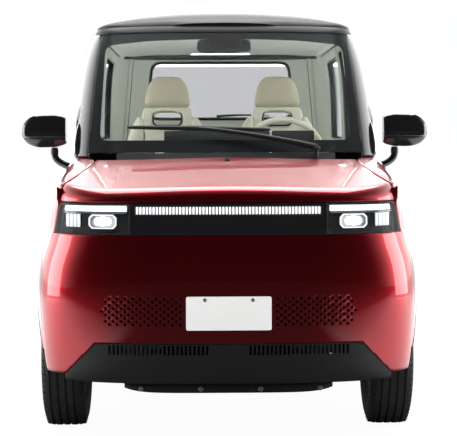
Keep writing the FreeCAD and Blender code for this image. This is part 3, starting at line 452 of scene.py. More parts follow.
# materials
def wiring(tree):
    # empties a node tree; its function adds one node, with values, or links where a value is a socket
    tree.nodes.clear()

    def node(kind, values=(), **settings):
        made = tree.nodes.new(kind if "Node" in kind else "ShaderNode" + kind)
        for key, value in settings.items():
            setattr(made, key, value)
        for key, value in dict(values).items():
            if isinstance(value, bpy.types.NodeSocket):
                tree.links.new(value, made.inputs[key])
            else:
                made.inputs[key].default_value = value
        return made
    return node


sockets = {"metal": "Metallic", "coat": "Coat Weight", "coatRough": "Coat Roughness", "clear": "Transmission Weight",
           "ior": "IOR", "shine": "Specular IOR Level", "sheen": "Sheen Weight", "soft": "Subsurface Weight",
           "glow": "Emission Strength"}


def finish(name, colour, rough, vary, **s):
    # procedural finish on object coordinates
    made = bpy.data.materials.new(name)
    made.use_nodes = True
    node = wiring(made.node_tree)
    where = node("TexCoord").outputs["Object"]
    cloud = node("TexNoise", {"Vector": where, "Scale": 6.0, "Detail": 4.0, "Roughness": 0.6}).outputs["Fac"]
    grain = node("TexNoise", {"Vector": where, "Scale": s.get("grainScale", 400.0), "Detail": 2.0}).outputs["Fac"]
    halves = [node("Math", {0: source, 1: 0.5}, operation="MULTIPLY").outputs[0] for source in (cloud, grain)]
    share = node("Math", {0: halves[0], 1: halves[1]}, operation="ADD").outputs[0]
    darker, lighter = ((*[min(1.0, c * (1 + change)) for c in colour], 1) for change in (-vary, vary))
    tone = node("Mix", {0: share, 6: darker, 7: lighter}, data_type="RGBA").outputs[2]
    change = s.get("roughVary", 0.25)
    roughness = node("MapRange", {"Value": cloud, "To Min": max(0.0, rough * (1 - change)),
                                  "To Max": min(1.0, rough * (1 + change))}).outputs[0]
    values = {"Base Color": tone, "Roughness": roughness, "IOR": 1.45}
    values.update((sockets[key], s[key]) for key in s if key in sockets)
    if "soft" in s:
        values["Subsurface Scale"] = 0.01
    if "glowColour" in s:
        values["Emission Color"] = (*s["glowColour"], 1)
    if "bump" in s:
        height = grain
        if "cells" in s:
            height = node("TexVoronoi", {"Vector": where, "Scale": s["cells"]}).outputs["Distance"]
        values["Normal"] = node("Bump", {"Height": height, "Strength": s["bump"],
                                         "Distance": s.get("bumpDepth", 0.0004)}).outputs["Normal"]
    surface = node("BsdfPrincipled", values).outputs[0]
    if "clear" in s:
        path = node("LightPath").outputs
        either = node("Math", {0: path["Is Shadow Ray"], 1: path["Is Diffuse Ray"]}, operation="MAXIMUM").outputs[0]
        through = node("BsdfTransparent", {"Color": (*s["shadowTint"], 1)}).outputs[0]
        surface = node("MixShader", {0: either, 1: surface, 2: through}).outputs[0]
    node("OutputMaterial", {"Surface": surface})
    return made


leather = dict(grainScale=900.0, bump=0.3, cells=700.0, bumpDepth=0.00035)
# colour, roughness, how much the colour varies, and the rest
finishes = {
    "redPaint": ((0.30, 0.006, 0.012), 0.30, 0.06, dict(metal=1.0, coat=1.0, coatRough=0.02, roughVary=0.08,
                                                        grainScale=1800.0, bump=0.05, bumpDepth=0.00008)),
    "glossBlack": ((0.006, 0.006, 0.007), 0.10, 0.2, dict(coat=1.0, roughVary=0.15)),
    "satinBlack": ((0.012, 0.012, 0.013), 0.38, 0.2, dict(grainScale=900.0, bump=0.15)),
    "grainBlack": ((0.006, 0.0065, 0.007), 0.42, 0.25, dict(grainScale=1400.0, bump=0.35, bumpDepth=0.0003,
                                                            cells=900.0)),
    "deepBlack": ((0.004, 0.004, 0.004), 0.8, 0.3, {}),
    "frit": ((0.004, 0.004, 0.005), 0.4, 0.2, dict(shine=0.04)),
    "roofBlack": ((0.007, 0.0075, 0.008), 0.36, 0.2, dict(coat=0.05, coatRough=0.25, shine=0.14, roughVary=0.1)),
    "glass": ((0.93, 0.97, 0.96), 0.005, 0.01, dict(clear=1.0, ior=1.06, shadowTint=(0.92, 0.95, 0.94))),
    "lampGlass": ((0.96, 0.97, 0.98), 0.01, 0.01, dict(clear=1.0, ior=1.08, shadowTint=(0.95, 0.95, 0.96))),
    "rearGlass": ((0.56, 0.54, 0.57), 0.005, 0.02, dict(clear=1.0, ior=1.12, shadowTint=(0.8, 0.8, 0.8))),
    "projector": ((0.9, 0.94, 0.98), 0.2, 0.03, dict(glow=1.1, glowColour=(0.9, 0.96, 1.0))),
    "redLens": ((0.55, 0.01, 0.012), 0.08, 0.08, dict(coat=0.8, soft=0.1)),
    "stripLight": ((0.80, 0.81, 0.82), 0.25, 0.05, dict(glow=0.22, coat=0.5)),
    "dayLight": ((0.86, 0.90, 0.95), 0.25, 0.03, dict(glow=0.75, glowColour=(0.88, 0.95, 1.0))),
    "chrome": ((0.62, 0.63, 0.65), 0.12, 0.06, dict(metal=1.0)),
    "silver": ((0.42, 0.43, 0.44), 0.35, 0.08, dict(metal=0.9, coat=0.3)),
    "steel": ((0.32, 0.32, 0.33), 0.42, 0.15, dict(metal=0.9, grainScale=300.0)),
    "castBlack": ((0.02, 0.02, 0.021), 0.6, 0.3, dict(grainScale=500.0, bump=0.2)),
    "rubber": ((0.011, 0.011, 0.011), 0.72, 0.3, dict(grainScale=700.0, bump=0.25)),
    "plateWhite": ((0.62, 0.62, 0.61), 0.35, 0.03, dict(coat=0.3)),
    "cream": ((0.80, 0.75, 0.63), 0.48, 0.06, dict(leather, soft=0.05)),
    "beige": ((0.60, 0.52, 0.39), 0.52, 0.08, leather),
    "paleTrim": ((0.74, 0.75, 0.68), 0.58, 0.05, dict(grainScale=1100.0, bump=0.2)),
    "headCloth": ((0.80, 0.81, 0.77), 0.85, 0.06, dict(grainScale=1500.0, bump=0.3, sheen=0.2)),
    "carpet": ((0.05, 0.05, 0.048), 0.95, 0.35, dict(grainScale=900.0, bump=0.6, bumpDepth=0.001, sheen=0.3)),
    "screen": ((0.008, 0.009, 0.011), 0.08, 0.2, dict(coat=0.8)),
    "mirror": ((0.75, 0.78, 0.80), 0.02, 0.02, dict(metal=1.0)),
    "amber": ((0.70, 0.25, 0.03), 0.12, 0.05, dict(coat=0.6)),
    "battery": ((0.05, 0.055, 0.06), 0.5, 0.2, dict(grainScale=250.0, bump=0.15)),
    "brakeDisc": ((0.30, 0.29, 0.28), 0.35, 0.2, dict(metal=1.0, grainScale=200.0)),
}
mats = {name: finish(name, *row[:3], **row[3]) for name, row in finishes.items()}


def put(made, replaced=None, body="car_body", angle=35.0):
    smooth(made, angle)
    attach(made, body)
    if replaced:
        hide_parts(replaced)
    return made


def archCutter(axle, radius=None):
    return prism("archCutter", circle((axle, car["tyre"]), radius or car["arch"], 120), "x", 300, 820)


def bothArches(axle):
    return both(archCutter(axle), "arches")


def hingeCutter(low, high):
    return prism("hingeCutter", circle((car["hingeX"], car["hingeY"]), car["swing"] + car["shut"], 64), "z", low,
                 high)


print("body panels")


def hoodHeight(x, y):
    return between(hoodRows, y)[0] - 34.0 * (x / 600.0) ** 2


hoodStyle = {"columns": 30, "rows": 46, "thickness": 14.0, "edge": 3.0, "rearHalf": 492.0, "rearZ": 1023.0,
             "round": 48.0}
rimEnd = runRound(lower, car["lampTop"], 0, nose(), side(car["noseSide"]), 2)[1]
rim = runRound(lower, car["lampTop"] + 2.0, 0, nose(), side(car["noseSide"] - 0.6), hoodStyle["columns"])
rim = mirroredLine(rim[1:]) + rim
hoodLines = []
for i, end in enumerate(rim):
    rearX = hoodStyle["rearHalf"] * (i / (len(rim) - 1) * 2 - 1)
    rear = noseY(upper, rearX, hoodStyle["rearZ"]) - 50.0
    chain = []
    for step in range(201):
        v = 1 - (1 - step / 200) ** 2
        x = rearX + (end[0] - rearX) * v ** 1.6
        y = rear + (end[1] - rear) * v
        top = hoodHeight(x, y)
        distance = math.hypot(x - end[0], y - end[1])
        fall = 1 - math.sqrt(max(0.0, 1 - max(0.0, 1 - distance / hoodStyle["round"]) ** 2))
        chain.append((x, y, top - (top - end[2]) * fall))
    hoodLines.append(evened(chain, hoodStyle["rows"]))
hood = solid(facing(outward(gridObject("hoodPanel", hoodLines))), hoodStyle["thickness"])
put(worked(hood, "redPaint", (hoodStyle["edge"], 3)), "hood", "hood", 40)


def hoodSide(y):
    share = max(0.0, (y + 905.0) / (rimEnd[1] + 905.0))
    return hoodStyle["rearHalf"] + (rimEnd[0] - hoodStyle["rearHalf"]) * share ** 1.6


fenderStyle = {"rows": 60, "columns": 60, "thickness": 12.0, "edge": 2.0}
shoulderRows = [(-1300, 606)] + [(y, hoodSide(y) + car["shut"]) for y in (car["noseSide"], -1150, -1000)]
shoulderRows += [(-905, 498.0), (-800, 536), (-720, 578), (-580, 600)]


def fenderChain(y):
    shut = between(shoulderRows, y)[0]
    wallTop = hoodHeight(sideX(lower, y, 800), y) - 52
    base = sideX(lower, y, wallTop)
    reach = min(46.0, max(6.0, base - shut - 4))
    chain = [(max(shut, sideX(lower, y, z)), y, z) for z in steps(car["doorLow"], wallTop, 30)]
    for degrees in range(3, 91, 3):
        turn = math.radians(degrees)
        chain.append((max(shut + 4, base - reach * (1 - math.cos(turn))), y,
                      wallTop + (hoodHeight(base - reach, y) - wallTop) * math.sin(turn)))
    innerX = chain[-1][0]
    for share in (0.25, 0.5, 0.75, 1.0):
        x = innerX - (innerX - shut) * share
        chain.append((x, y, hoodHeight(x, y)))
    return chain


fenderLines = [evened(fenderChain(y), fenderStyle["columns"])
               for y in steps(car["noseSide"], car["doorFront"] - car["shut"], fenderStyle["rows"])]
fender = solid(facing(outward(gridObject("fenderPanels", fenderLines)), 0), fenderStyle["thickness"])
worked(fender, "redPaint", (fenderStyle["edge"], 2), [archCutter(car["frontAxle"]), hingeCutter(0, 1500)])
put(both(fender), "fenders", angle=40)


def apronZone(halfLow, halfTop, low, knee, top):
    return prism("apronZone", symmetric([(halfLow, low), (halfLow, knee), (halfTop, top)]), "y", -1600, -1000)


fasciaStyle = {"low": 255.0, "top": 743.0, "thickness": 12.0, "holeRadius": 5.0, "rows": 9, "rowPitch": 11.2,
               "pitch": 27.0, "firstX": 166.0, "lastX": 446.0, "lowestZ": 439.0, "edge": 2.0}
fascia = wallSkin("frontFascia", lower, fasciaStyle["low"], fasciaStyle["top"], nose(), side(car["noseSide"] - 0.6),
                  fasciaStyle["thickness"], cell=11.0,
                  cut=[apronZone(575, 462, 150, 255, 373), bothArches(car["frontAxle"])])
holes = []
for row in range(fasciaStyle["rows"]):
    z = fasciaStyle["lowestZ"] + row * fasciaStyle["rowPitch"]
    x = fasciaStyle["firstX"] + (13.5 if row % 2 else 0.0)
    while x < fasciaStyle["lastX"] - abs(row - 4) * 7.0:
        for way in (-1, 1):
            holes.append(prism("hole", circle((way * x, z), fasciaStyle["holeRadius"], 8), "y", -1490, -1330))
        x += fasciaStyle["pitch"]
worked(fascia, "redPaint", (fasciaStyle["edge"], 2, 60), [joined("holes", holes)])
put(fascia, "front_fascia", angle=40)

print("apron")
apronStyle = {"low": 232.0, "top": 371.0, "slots": 24, "pitch": 14.6, "firstX": 74.0, "slotHalf": 4.0, "slotLow": 333,
              "slotTop": 366}
apron = wallSkin("lowerApron", lower, apronStyle["low"], apronStyle["top"], nose(), nose(585), 12.0, 4.0, 10.0,
                 keep=[apronZone(573, 460, 226, 254, 372)])
slots = []
for way in (-1, 1):
    for i in range(apronStyle["slots"]):
        x = way * (apronStyle["firstX"] + apronStyle["pitch"] * i)
        outline = roundedBox(x - apronStyle["slotHalf"], x + apronStyle["slotHalf"], apronStyle["slotLow"],
                             apronStyle["slotTop"], 2, 3)
        slots.append(prism("slot", outline, "y", -1600, -1200))
worked(apron, "grainBlack", (1.5, 2), [joined("slots", slots)])
put(apron, "lower_apron", angle=40)

lipStyle = {"top": 232, "half": 364.0, "bolts": (-305.0, -97.0, 110.0, 318.0)}
lipLines = []
for inset, z in ((70, 232), (60, 226), (52, 214), (52, 200), (60, 192), (300, 190), (300, 196), (70, 198),
                 (66, 206), (70, 226), (74, 232)):
    line = []
    for x in steps(-lipStyle["half"], lipStyle["half"], 61):
        edge = (abs(x) / lipStyle["half"]) ** 8
        line.append((x, noseY(lower, x, 260) + inset + 20 * edge, z + (lipStyle["top"] - z) * 0.35 * edge))
    lipLines.append(line)
lip = closedEnds(outward(gridObject("undertrayLip", lipLines)))
put(coloured(lip, "grainBlack"), angle=40)
fasteners = [spun("fastener", [(0, 0.01), (0, 7), (-2, 9), (-5, 9), (-7, 6), (-7, 0.01)], "y",
                  (x, noseY(lower, x, 260) + 56, 207), 20, look="steel") for x in lipStyle["bolts"]]
put(joined("lipFasteners", fasteners))


def repeater():
    # node group that puts one piece on every point, turned by the points' own attribute
    group = bpy.data.node_groups.new("repeatPiece", "GeometryNodeTree")
    for label, kind in (("Points", "Geometry"), ("Piece", "Object"), ("Finish", "Material"), ("Size", "Float"),
                        ("Size Spread", "Float"), ("Seed", "Int")):
        group.interface.new_socket(label, in_out="INPUT", socket_type="NodeSocket" + kind)
    group.interface.new_socket("Geometry", in_out="OUTPUT", socket_type="NodeSocketGeometry")
    node = wiring(group)
    start = node("NodeGroupInput").outputs
    piece = node("GeometryNodeObjectInfo", {"Object": start["Piece"]}).outputs["Geometry"]
    turn = node("GeometryNodeInputNamedAttribute", {"Name": "turn"}, data_type="FLOAT_VECTOR").outputs["Attribute"]
    low, high = (node("Math", {0: start["Size"], 1: start["Size Spread"]}, operation=way).outputs[0]
                 for way in ("SUBTRACT", "ADD"))
    spread = node("FunctionNodeRandomValue", {2: low, 3: high, "Seed": start["Seed"]}, data_type="FLOAT").outputs[1]
    places = node("GeometryNodeInstanceOnPoints", {"Points": start["Points"], "Instance": piece, "Rotation": turn,
                                                   "Scale": spread}).outputs["Instances"]
    real = node("GeometryNodeRealizeInstances", {"Geometry": places}).outputs["Geometry"]
    painted = node("GeometryNodeSetMaterial", {"Geometry": real, "Material": start["Finish"]}).outputs["Geometry"]
    node("NodeGroupOutput", {"Geometry": painted})
    return group


repeatGroup = repeater()


def repeated(name, piece, places, look, size=1.0, spread=0.0, seed=7):
    # one mesh with the piece at every place; a place is a point in mm and a turn in radians
    made = meshObject(name, [p for p, _ in places], [])
    turn = made.data.attributes.new("turn", "FLOAT_VECTOR", "POINT")
    turn.data.foreach_set("vector", [c for _, t in places for c in t])
    step = made.modifiers.new("repeat", "NODES")
    step.node_group = repeatGroup
    values = {"Piece": piece, "Finish": mats[look], "Size": size, "Size Spread": spread, "Seed": seed}
    for item in repeatGroup.interface.items_tree:
        if item.in_out == "INPUT" and item.name in values:
            step[item.identifier] = values[item.name]
    settle(made)
    drop(piece)
    if "turn" in made.data.attributes:
        made.data.attributes.remove(made.data.attributes["turn"])
    return made


def sailY(more=0):
    # side line of the sloping front edge of the side windows
    front, top = car["doorFront"], 1508.0
    return side(lambda z: front + (-165.0 - front) * (z - car["belt"]) / (top - car["belt"]) + more)


def screenEdge(less=0):
    return nose(lambda z: 529.0 - 10.0 * (z - 1023.0) / (1516.0 - 1023.0) - less)


def gateSide(z):
    return car["gateHalf"] - 0.1 * max(0.0, z - car["belt"])


def gateEdge(more=0):
    return tail(lambda z: gateSide(z) + more)


print("lamps")
lampStyle = {"low": 744.4, "top": 852.6, "inner": 341.0, "barHalf": 318.0, "barLow": 814.0, "barTop": 841.0,
             "ribs": 56, "ribHalf": 3.8, "slats": (520, 534, 548, 562), "unit": (434.0, 789.0)}
barLow, barTop, barHalf = lampStyle["barLow"], lampStyle["barTop"], lampStyle["barHalf"]
recess = wallSkin("recess", lower, barLow - 2, barTop + 2, nose(), nose(barHalf + 3), 20, -3, 12.0)
bar = wallSkin("lampPanel", lower, car["lampLow"] + 0.3, car["lampTop"] - 0.3, nose(), nose(car["lampInner"]), 36,
               cell=9.0, cut=[recess], edge=(1.6, 3, 45), look="glossBlack")
put(bar, "lamp_bar", angle=40)
strip = wallSkin("stripBacking", lower, barLow - 0.5, barTop + 0.5, nose(), nose(barHalf + 1), 5, 10.5, 10.0,
                 look="satinBlack")
rib = prism("rib", roundedBox(-lampStyle["ribHalf"], lampStyle["ribHalf"], -13, 13, 1.8, 3), "y", -5.5, 5.5,
            edge=(1.0, 2))
smooth(rib)
places = []
for i in range(lampStyle["ribs"]):
    x = barHalf * (2 * (i + 0.5) / lampStyle["ribs"] - 1)
    y = noseY(lower, x, 827)
    lean = math.atan2(noseY(lower, abs(x) + 4, 827) - y, 4) * (1 if x > 0 else -1)
    places.append(((x, y + 8.0, 827.5), (0, 0, lean)))
put(joined("lightStrip", [strip, repeated("stripRibs", rib, places, "stripLight")]), "light_strip")

inner, outer = lampStyle["inner"], car["noseSide"]
hollow = wallSkin("hollow", lower, lampStyle["low"] + 6, lampStyle["top"] - 5, nose(inner + 7), side(outer - 8), 40,
                  -6, 10.0)
housing = wallSkin("lampHousings", lower, lampStyle["low"], lampStyle["top"], nose(inner), side(outer - 0.8), 50,
                   4.5, 9.0,
                   cut=[hollow], edge=(1.5, 2), look="deepBlack")
put(both(housing), "headlamp_housings")
lens = wallSkin("lampLenses", lower, lampStyle["low"], lampStyle["top"], nose(inner), side(outer - 0.8), 3.2,
                cell=8.0,
                edge=(1.0, 2), look="lampGlass")
put(both(lens), "headlamp_lenses")
dayBar = wallSkin("dayLights", lower, 824, 847, nose(350), side(outer - 22), 9, 9, 8.0, edge=(3.0, 3, 45),
                  look="dayLight")
brow = wallSkin("dayBrow", lower, 816, 822, nose(350), side(outer - 22), 26, 8, 8.0, edge=(1.0, 2, 45),
                look="glossBlack")
put(both(dayBar))
put(both(brow))
slatPieces = []
for x in lampStyle["slats"]:
    y = noseY(lower, x + 5, 800)
    slatPieces.append(prism("slat", roundedBox(x - 5, x + 5, 768, 814, 2.0, 3), "y", y + 12, y + 44, edge=(0.8, 2),
                            look="stripLight"))
unitX, unitZ = lampStyle["unit"]


def octagonBar(name, halfX, halfZ, corner):
    flat, tall = halfX - corner, halfZ - corner
    outline = [(-flat, -halfZ), (flat, -halfZ), (halfX, -tall), (halfX, tall), (flat, halfZ), (-flat, halfZ),
               (-halfX, tall), (-halfX, -tall)]
    return prism(name, [(unitX + x, unitZ + z) for x, z in outline], "y", -1600, -1300)


def unitPart(name, halfX, halfZ, corner, inset, deep, look, **work):
    return wallSkin(name, lower, unitZ - halfZ - 3, unitZ + halfZ + 3, nose(unitX - halfX - 3),
                    nose(unitX + halfX + 3), deep,
                    inset, 5.0, look=look, keep=[octagonBar("edge", halfX, halfZ, corner)], **work)


lampUnits = [unitPart("bezel", 50, 25, 12, 11, 20, "chrome", cut=[octagonBar("dish", 44, 20, 10)], edge=(1.0, 2)),
             unitPart("dishBack", 44.5, 20.5, 10, 22, 5, "silver"), unitPart("core", 31, 14, 8, 17, 4, "projector"),
             spun("ball", [(-11, 0.01), (-9.5, 8), (-5, 14), (2, 18), (2, 0.01)], "y",
                  (unitX, noseY(lower, unitX, unitZ) + 24, unitZ), 40, look="projector")]
put(both(joined("lampUnits", slatPieces + lampUnits)), "lamp_slats")

print("plate and wiper")
plateSet = [prism("numberPlate", roundedBox(-146, 146, 420, 536, 8), "y", -1478.4, -1475.8, edge=(0.6, 2),
                  look="plateWhite"),
            prism("plateFrame", roundedBox(-149, 149, 417, 539, 9), "y", -1477.2, -1474.0, look="redPaint",
                  cut=[prism("inner", roundedBox(-145, 145, 421, 535, 7), "y", -1480, -1470)])]
plateSet += [spun("bolt", [(-3.6, 0.01), (-3.2, 4.5), (-0.5, 6.5), (0.5, 6.5), (0.5, 0.01)], "y", (x, -1478.4, 524),
                  24,
                  look="steel") for x in (-82.0, 82.0)]
put(joined("numberPlateSet", plateSet), "number_plate")

wiperStyle = {"right": 171.0, "left": -378.0, "z": 1110.0, "slope": 0.02, "pivot": (341.0, -899.0)}


def glassPath(shorten, lift, off):
    # the wiper's line over the windscreen, from its right end to its left
    ends = wiperStyle["right"] - shorten, wiperStyle["left"] + shorten
    places = [(x, wiperStyle["z"] + lift + (wiperStyle["right"] - x) * wiperStyle["slope"]) for x in steps(*ends, 25)]
    return [(x, noseY(upper, x, z, 2) - off, z) for x, z in places]


bladePath = glassPath(0, 0, 12)
midX, midY, midZ = bladePath[12]
px, py = wiperStyle["pivot"]
armPath = bezier((px, py, 1042), (px - 60, py - 14, 1062), (midX + 120, midY - 26, midZ - 6), (midX, midY - 6, midZ),
                 24)
wiperSet = [tube("blade", bladePath, [4.0] + [11.0 - 4.0 * abs(k / 12 - 1) for k in range(1, 24)] + [4.0], 10),
            tube("squeegee", glassPath(4, -3, 4), 2.6, 6),
            tube("arm", armPath, [13.0 - 5.5 * (k / 23) ** 0.6 for k in range(24)], 10),
            spun("pivotCap", [(-30, 0.01), (-30, 9), (0, 9), (0, 15), (10, 17), (16, 12), (18, 0.01)], "z",
                 (px, py, 1030), 32)]
put(coloured(joined("wiperSet", wiperSet), "satinBlack"), "wiper")
nozzle = spun("nozzle", [(-3, 0.01), (-3, 11), (3, 11), (9, 6), (10, 0.01)], "z",
              (3.0, -1010.0, hoodHeight(3, -1010)),
              28, look="satinBlack")
put(nozzle, body="hood")

print("glass and roof")
screen = wallSkin("windscreenGlass", upper, 1023.5, 1515.5, nose(), screenEdge(0.8), 5, 2, 18.0, look="glass")
put(screen, "windscreen")
opening = roundedOutline([(-485, 1070), (485, 1070), (489, 1462), (300, 1478), (82, 1484), (72, 1452), (-64, 1452),
                          (-74, 1484), (-300, 1478), (-489, 1462)], [34, 34, 40, 60, 6, 8, 8, 6, 60, 40], 6)
fritBand = wallSkin("windscreenBand", upper, 1024, 1515, nose(), screenEdge(2), 1.2, 7.4, 12.0,
                    cut=[prism("opening", opening, "y", -1100, 0)], look="frit")
put(fritBand)
pillar = wallSkin("windscreenPillars", upper, 1011.5, 1515.5, screenEdge(-0.2), sailY(), 30, cell=12.0,
                  cut=[hingeCutter(900, 1600)], edge=(3.0, 3), look="glossBlack")
put(both(pillar), "front_pillars")
pillarTrim = wallSkin("pillarTrim", upper, 1050, 1512, screenEdge(26), sailY(-4), 5, 36, 16.0, look="paleTrim")
put(both(pillarTrim))


def roofLines(depth, reachIn, columns=26, rows=80):
    frontEdge = runRound(upper, car["roofRim"], reachIn, nose(), side(-150), columns + 1)
    rearEdge = runRound(upper, car["roofRim"], reachIn, side(1200), tail(), columns + 1)
    lines = []
    for k in range(-columns, columns + 1):
        start, end = frontEdge[abs(k)], rearEdge[columns - abs(k)]
        chain = []
        for v in steps(0, 1, 161):
            y = start[1] + (end[1] - start[1]) * v
            limit = sideX(upper, min(max(y, -351 + reachIn), 1317 - reachIn), car["roofRim"], reachIn)
            bow = start[0] + (end[0] - start[0]) * v
            x = bow + ((limit - bow) * (abs(k) / columns) ** 6 if 0 < v < 1 else 0)
            a = min(1.0, x / max(limit, 1.0))
            lift = car["roofRise"] * max(0.0, between(roofRows, y)[0]) * math.sqrt(max(0.0, 1 - a ** 2))
            chain.append((math.copysign(x, k), y, car["roofRim"] + lift - depth))
        lines.append(evened(chain, rows))
    return lines


roofSet = [worked(solid(facing(gridObject("roofPanel", roofLines(0, 0))), 24), "roofBlack", (3.0, 3, 60))]
for way in (-1, 1):
    for x in (150, 200):
        roofSet.append(block("ear", way * x - 5, way * x + 5, 1308, 1320, 1509.5, 1522, look="castBlack"))
    roofSet.append(tube("pin", [(way * 145, 1318, 1512.5), (way * 205, 1318, 1512.5)], 3.0, look="steel"))
put(joined("roofSet", roofSet), "roof_panel", angle=45)
header = wallSkin("roofHeader", upper, 1516.0, 1546.0, nose(), side(1240.0), 38, 1.0, edge=(2.0, 2), look="roofBlack")
put(header)
cowlEnd = block("cowlEnds", 404, 531, -762, -750, 930, 1050, edge=(2, 2), look="frit")
put(both(cowlEnd, "cowlEnds"))
rails = tube("roofRails", [(sideX(upper, y, 1512) - 47, y, 1519) for y in steps(-235, 1250, 40)], 13.0,
             look="headCloth")
put(both(rails))
gateStrip = tube("gateStrip", [(x, tailY(upper, x, 1510) - 52, 1510) for x in steps(-505, 505, 41)], 14.0,
                 look="satinBlack")
put(gateStrip)
cornerPath = [(gateSide(z) + 6, tailY(upper, gateSide(z) + 3, z) - 56, z) for z in steps(1040, 1510, 24)]
put(both(tube("gateCorners", cornerPath, 11.0, look="paleTrim")))
lining = solid(facing(gridObject("headLining", roofLines(30, 34, 14, 40))), 5)
put(coloured(lining, "headCloth"))


print("doors")
doorWindow = [(-497, 1062), (350, 1062), (350, 1474), (-128, 1474)]
quarterWindow = [(470, 1080), (1080, 1088), (1010, 1462), (470, 1462)]
rearWindow = symmetric([(384, 1190), (358, 1482)])


def sideHole(window, shrink, radius=24):
    return prism("hole", roundedOutline(shrunk(window, shrink), radius, 6), "x", 400, 800)


def rearHole(shrink, radius):
    return prism("hole", roundedOutline(shrunk(rearWindow, shrink), radius, 8), "y", 1200, 1500)


def doorEdge(z):
    x = sideX(lower, -590, z)
    return car["hingeY"] - math.sqrt(max(0.0, car["swing"] ** 2 - (x - car["hingeX"]) ** 2))


gripPath = [(sideX(lower, y, 880) + 3 + 16 * math.sin(math.pi * k / 16) ** 0.5, y, 880)
            for k, y in enumerate(steps(215, 365, 17))]
doorPanel = joined("doorPanelLeft", [
    wallSkin("doorSkin", lower, car["doorLow"], 1029.2, side(doorEdge), side(car["doorRear"]), 11.0, edge=(2.0, 3),
             look="redPaint"),
    wallSkin("doorCore", lower, 333, 1026, side(-534), side(397), 46, 11.4, 24.0, edge=(5.0, 3), look="paleTrim"),
    wallSkin("armRest", lower, 690, 742, side(-360), side(240), 42, 57, 24.0, edge=(14.0, 4), look="cream"),
    wallSkin("doorInset", lower, 770, 950, side(-420), side(330), 5, 57, 24.0, edge=(4.0, 3), look="cream"),
    tube("latch", [(sideX(lower, y, 860) - 66, y, 862) for y in steps(-330, -230, 9)], 6, look="chrome"),
    tube("grip", gripPath, 8.5, 14, look="glossBlack")])
sealPath = [(sideX(upper, y, z) - 8, y, z) for y, z in roundedOutline(shrunk(doorWindow, 3), 24, 6)]
doorFrame = joined("doorFrameLeft", [
    wallSkin("doorFrameLeft", upper, 1030.4, 1507.6, sailY(6), side(car["doorRear"]), 32, cell=12.0,
             cut=[sideHole(doorWindow, 0)], edge=(2.0, 3), look="glossBlack"),
    wallSkin("frameTrim", upper, 1034, 1503, sailY(12), side(395), 4, 33, 16.0, cut=[sideHole(doorWindow, -8, 28)],
             look="paleTrim"),
    loopTube("seal", sealPath, 4.0, 8, look="rubber")])
pane = wallSkin("doorGlassLeft", upper, 1045, 1490, sailY(12), side(385), 5, 12, 20.0,
                keep=[sideHole(doorWindow, 0.7)],
                look="glass")

mirrorStyle = {"inner": 637.0, "outer": 815.0, "y": -544.0, "z": 1109.0, "rows": 40, "sides": 48, "tall": 67.0,
               "deep": 36.0, "stubX": 684, "footZ": 962}
mirrorY, mirrorZ = mirrorStyle["y"], mirrorStyle["z"]
shellLines = []
for t in steps(0, 1, mirrorStyle["rows"]):
    u = 1 - (1 - t) ** 1.5
    x = mirrorStyle["inner"] + (mirrorStyle["outer"] - mirrorStyle["inner"]) * u
    grow = min(1.0, 0.80 + 0.20 * min(1.0, u / 0.25) ** 0.6)
    grow *= max(math.sqrt(max(0.0, 1 - max(0.0, (u - 0.52) / 0.48) ** 2.4)), 0.02)
    ring = []
    for c, s in circle((0, 0), 1, mirrorStyle["sides"]):
        ring.append((x, mirrorY + mirrorStyle["deep"] * grow * math.copysign(abs(c) ** 0.72, c),
                     mirrorZ + mirrorStyle["tall"] * grow * math.copysign(abs(s) ** 0.80, s) + 4 * (1 - u)))
    shellLines.append(ring)
shell = closedEnds(gridObject("mirrorShell", shellLines, wrapColumns=True))
core = copied(shell)
for v in core.data.vertices:
    v.co.x = 0.726 + (v.co.x - 0.726) * 0.975
    v.co.y = mirrorY * mm + (v.co.y - mirrorY * mm) * 0.955
    v.co.z = mirrorZ * mm + (v.co.z - mirrorZ * mm) * 0.97
worked(shell, "glossBlack", cut=[block("groove", 600, 840, mirrorY - 60, mirrorY + 60, 1085.0, 1087.0)])
stubX, footZ = mirrorStyle["stubX"], mirrorStyle["footZ"]
foot = sideX(lower, -540, footZ)
stalkPath = bezier((stubX, -540, 1022), (686, -540, 985), (foot + 38, -540, 976), (foot - 6, -540, 960), 24)
mirrorSet = joined("doorMirrorLeft", [
    shell, coloured(core, "silver"),
    prism("mirrorFace", roundedOutline([(648, 1056), (784, 1062), (792, 1150), (650, 1164)], 26, 6), "y",
          mirrorY + 28,
          mirrorY + 37.5, look="mirror"),
    spun("stub", [(-26, 0.01), (-26, 15), (-6, 15), (-4, 13), (2, 13), (2, 0.01)], "z", (stubX, mirrorY + 4, 1042),
         32,
         look="satinBlack"),
    tube("stalk", stalkPath, [14.0 + 5.0 * (k / 23) ** 3 for k in range(24)], 20, look="glossBlack"),
    spun("pad", [(-3, 0.01), (-3, 27), (2, 25), (5, 17), (5, 0.01)], "x", (foot - 1, -540, footZ), 36,
         look="glossBlack")])
for made, node, slotName in ((doorPanel, "panel", "body_paint"), (doorFrame, "frame", "roof_black"),
                             (pane, "glass", "window_glass"), (mirrorSet, "mirror", "mirror_black")):
    other = flipped(made, made.name.replace("Left", "Right"))
    put(made, "door_left_" + node, "door_left")
    put(other, "door_right_" + node, "door_right")

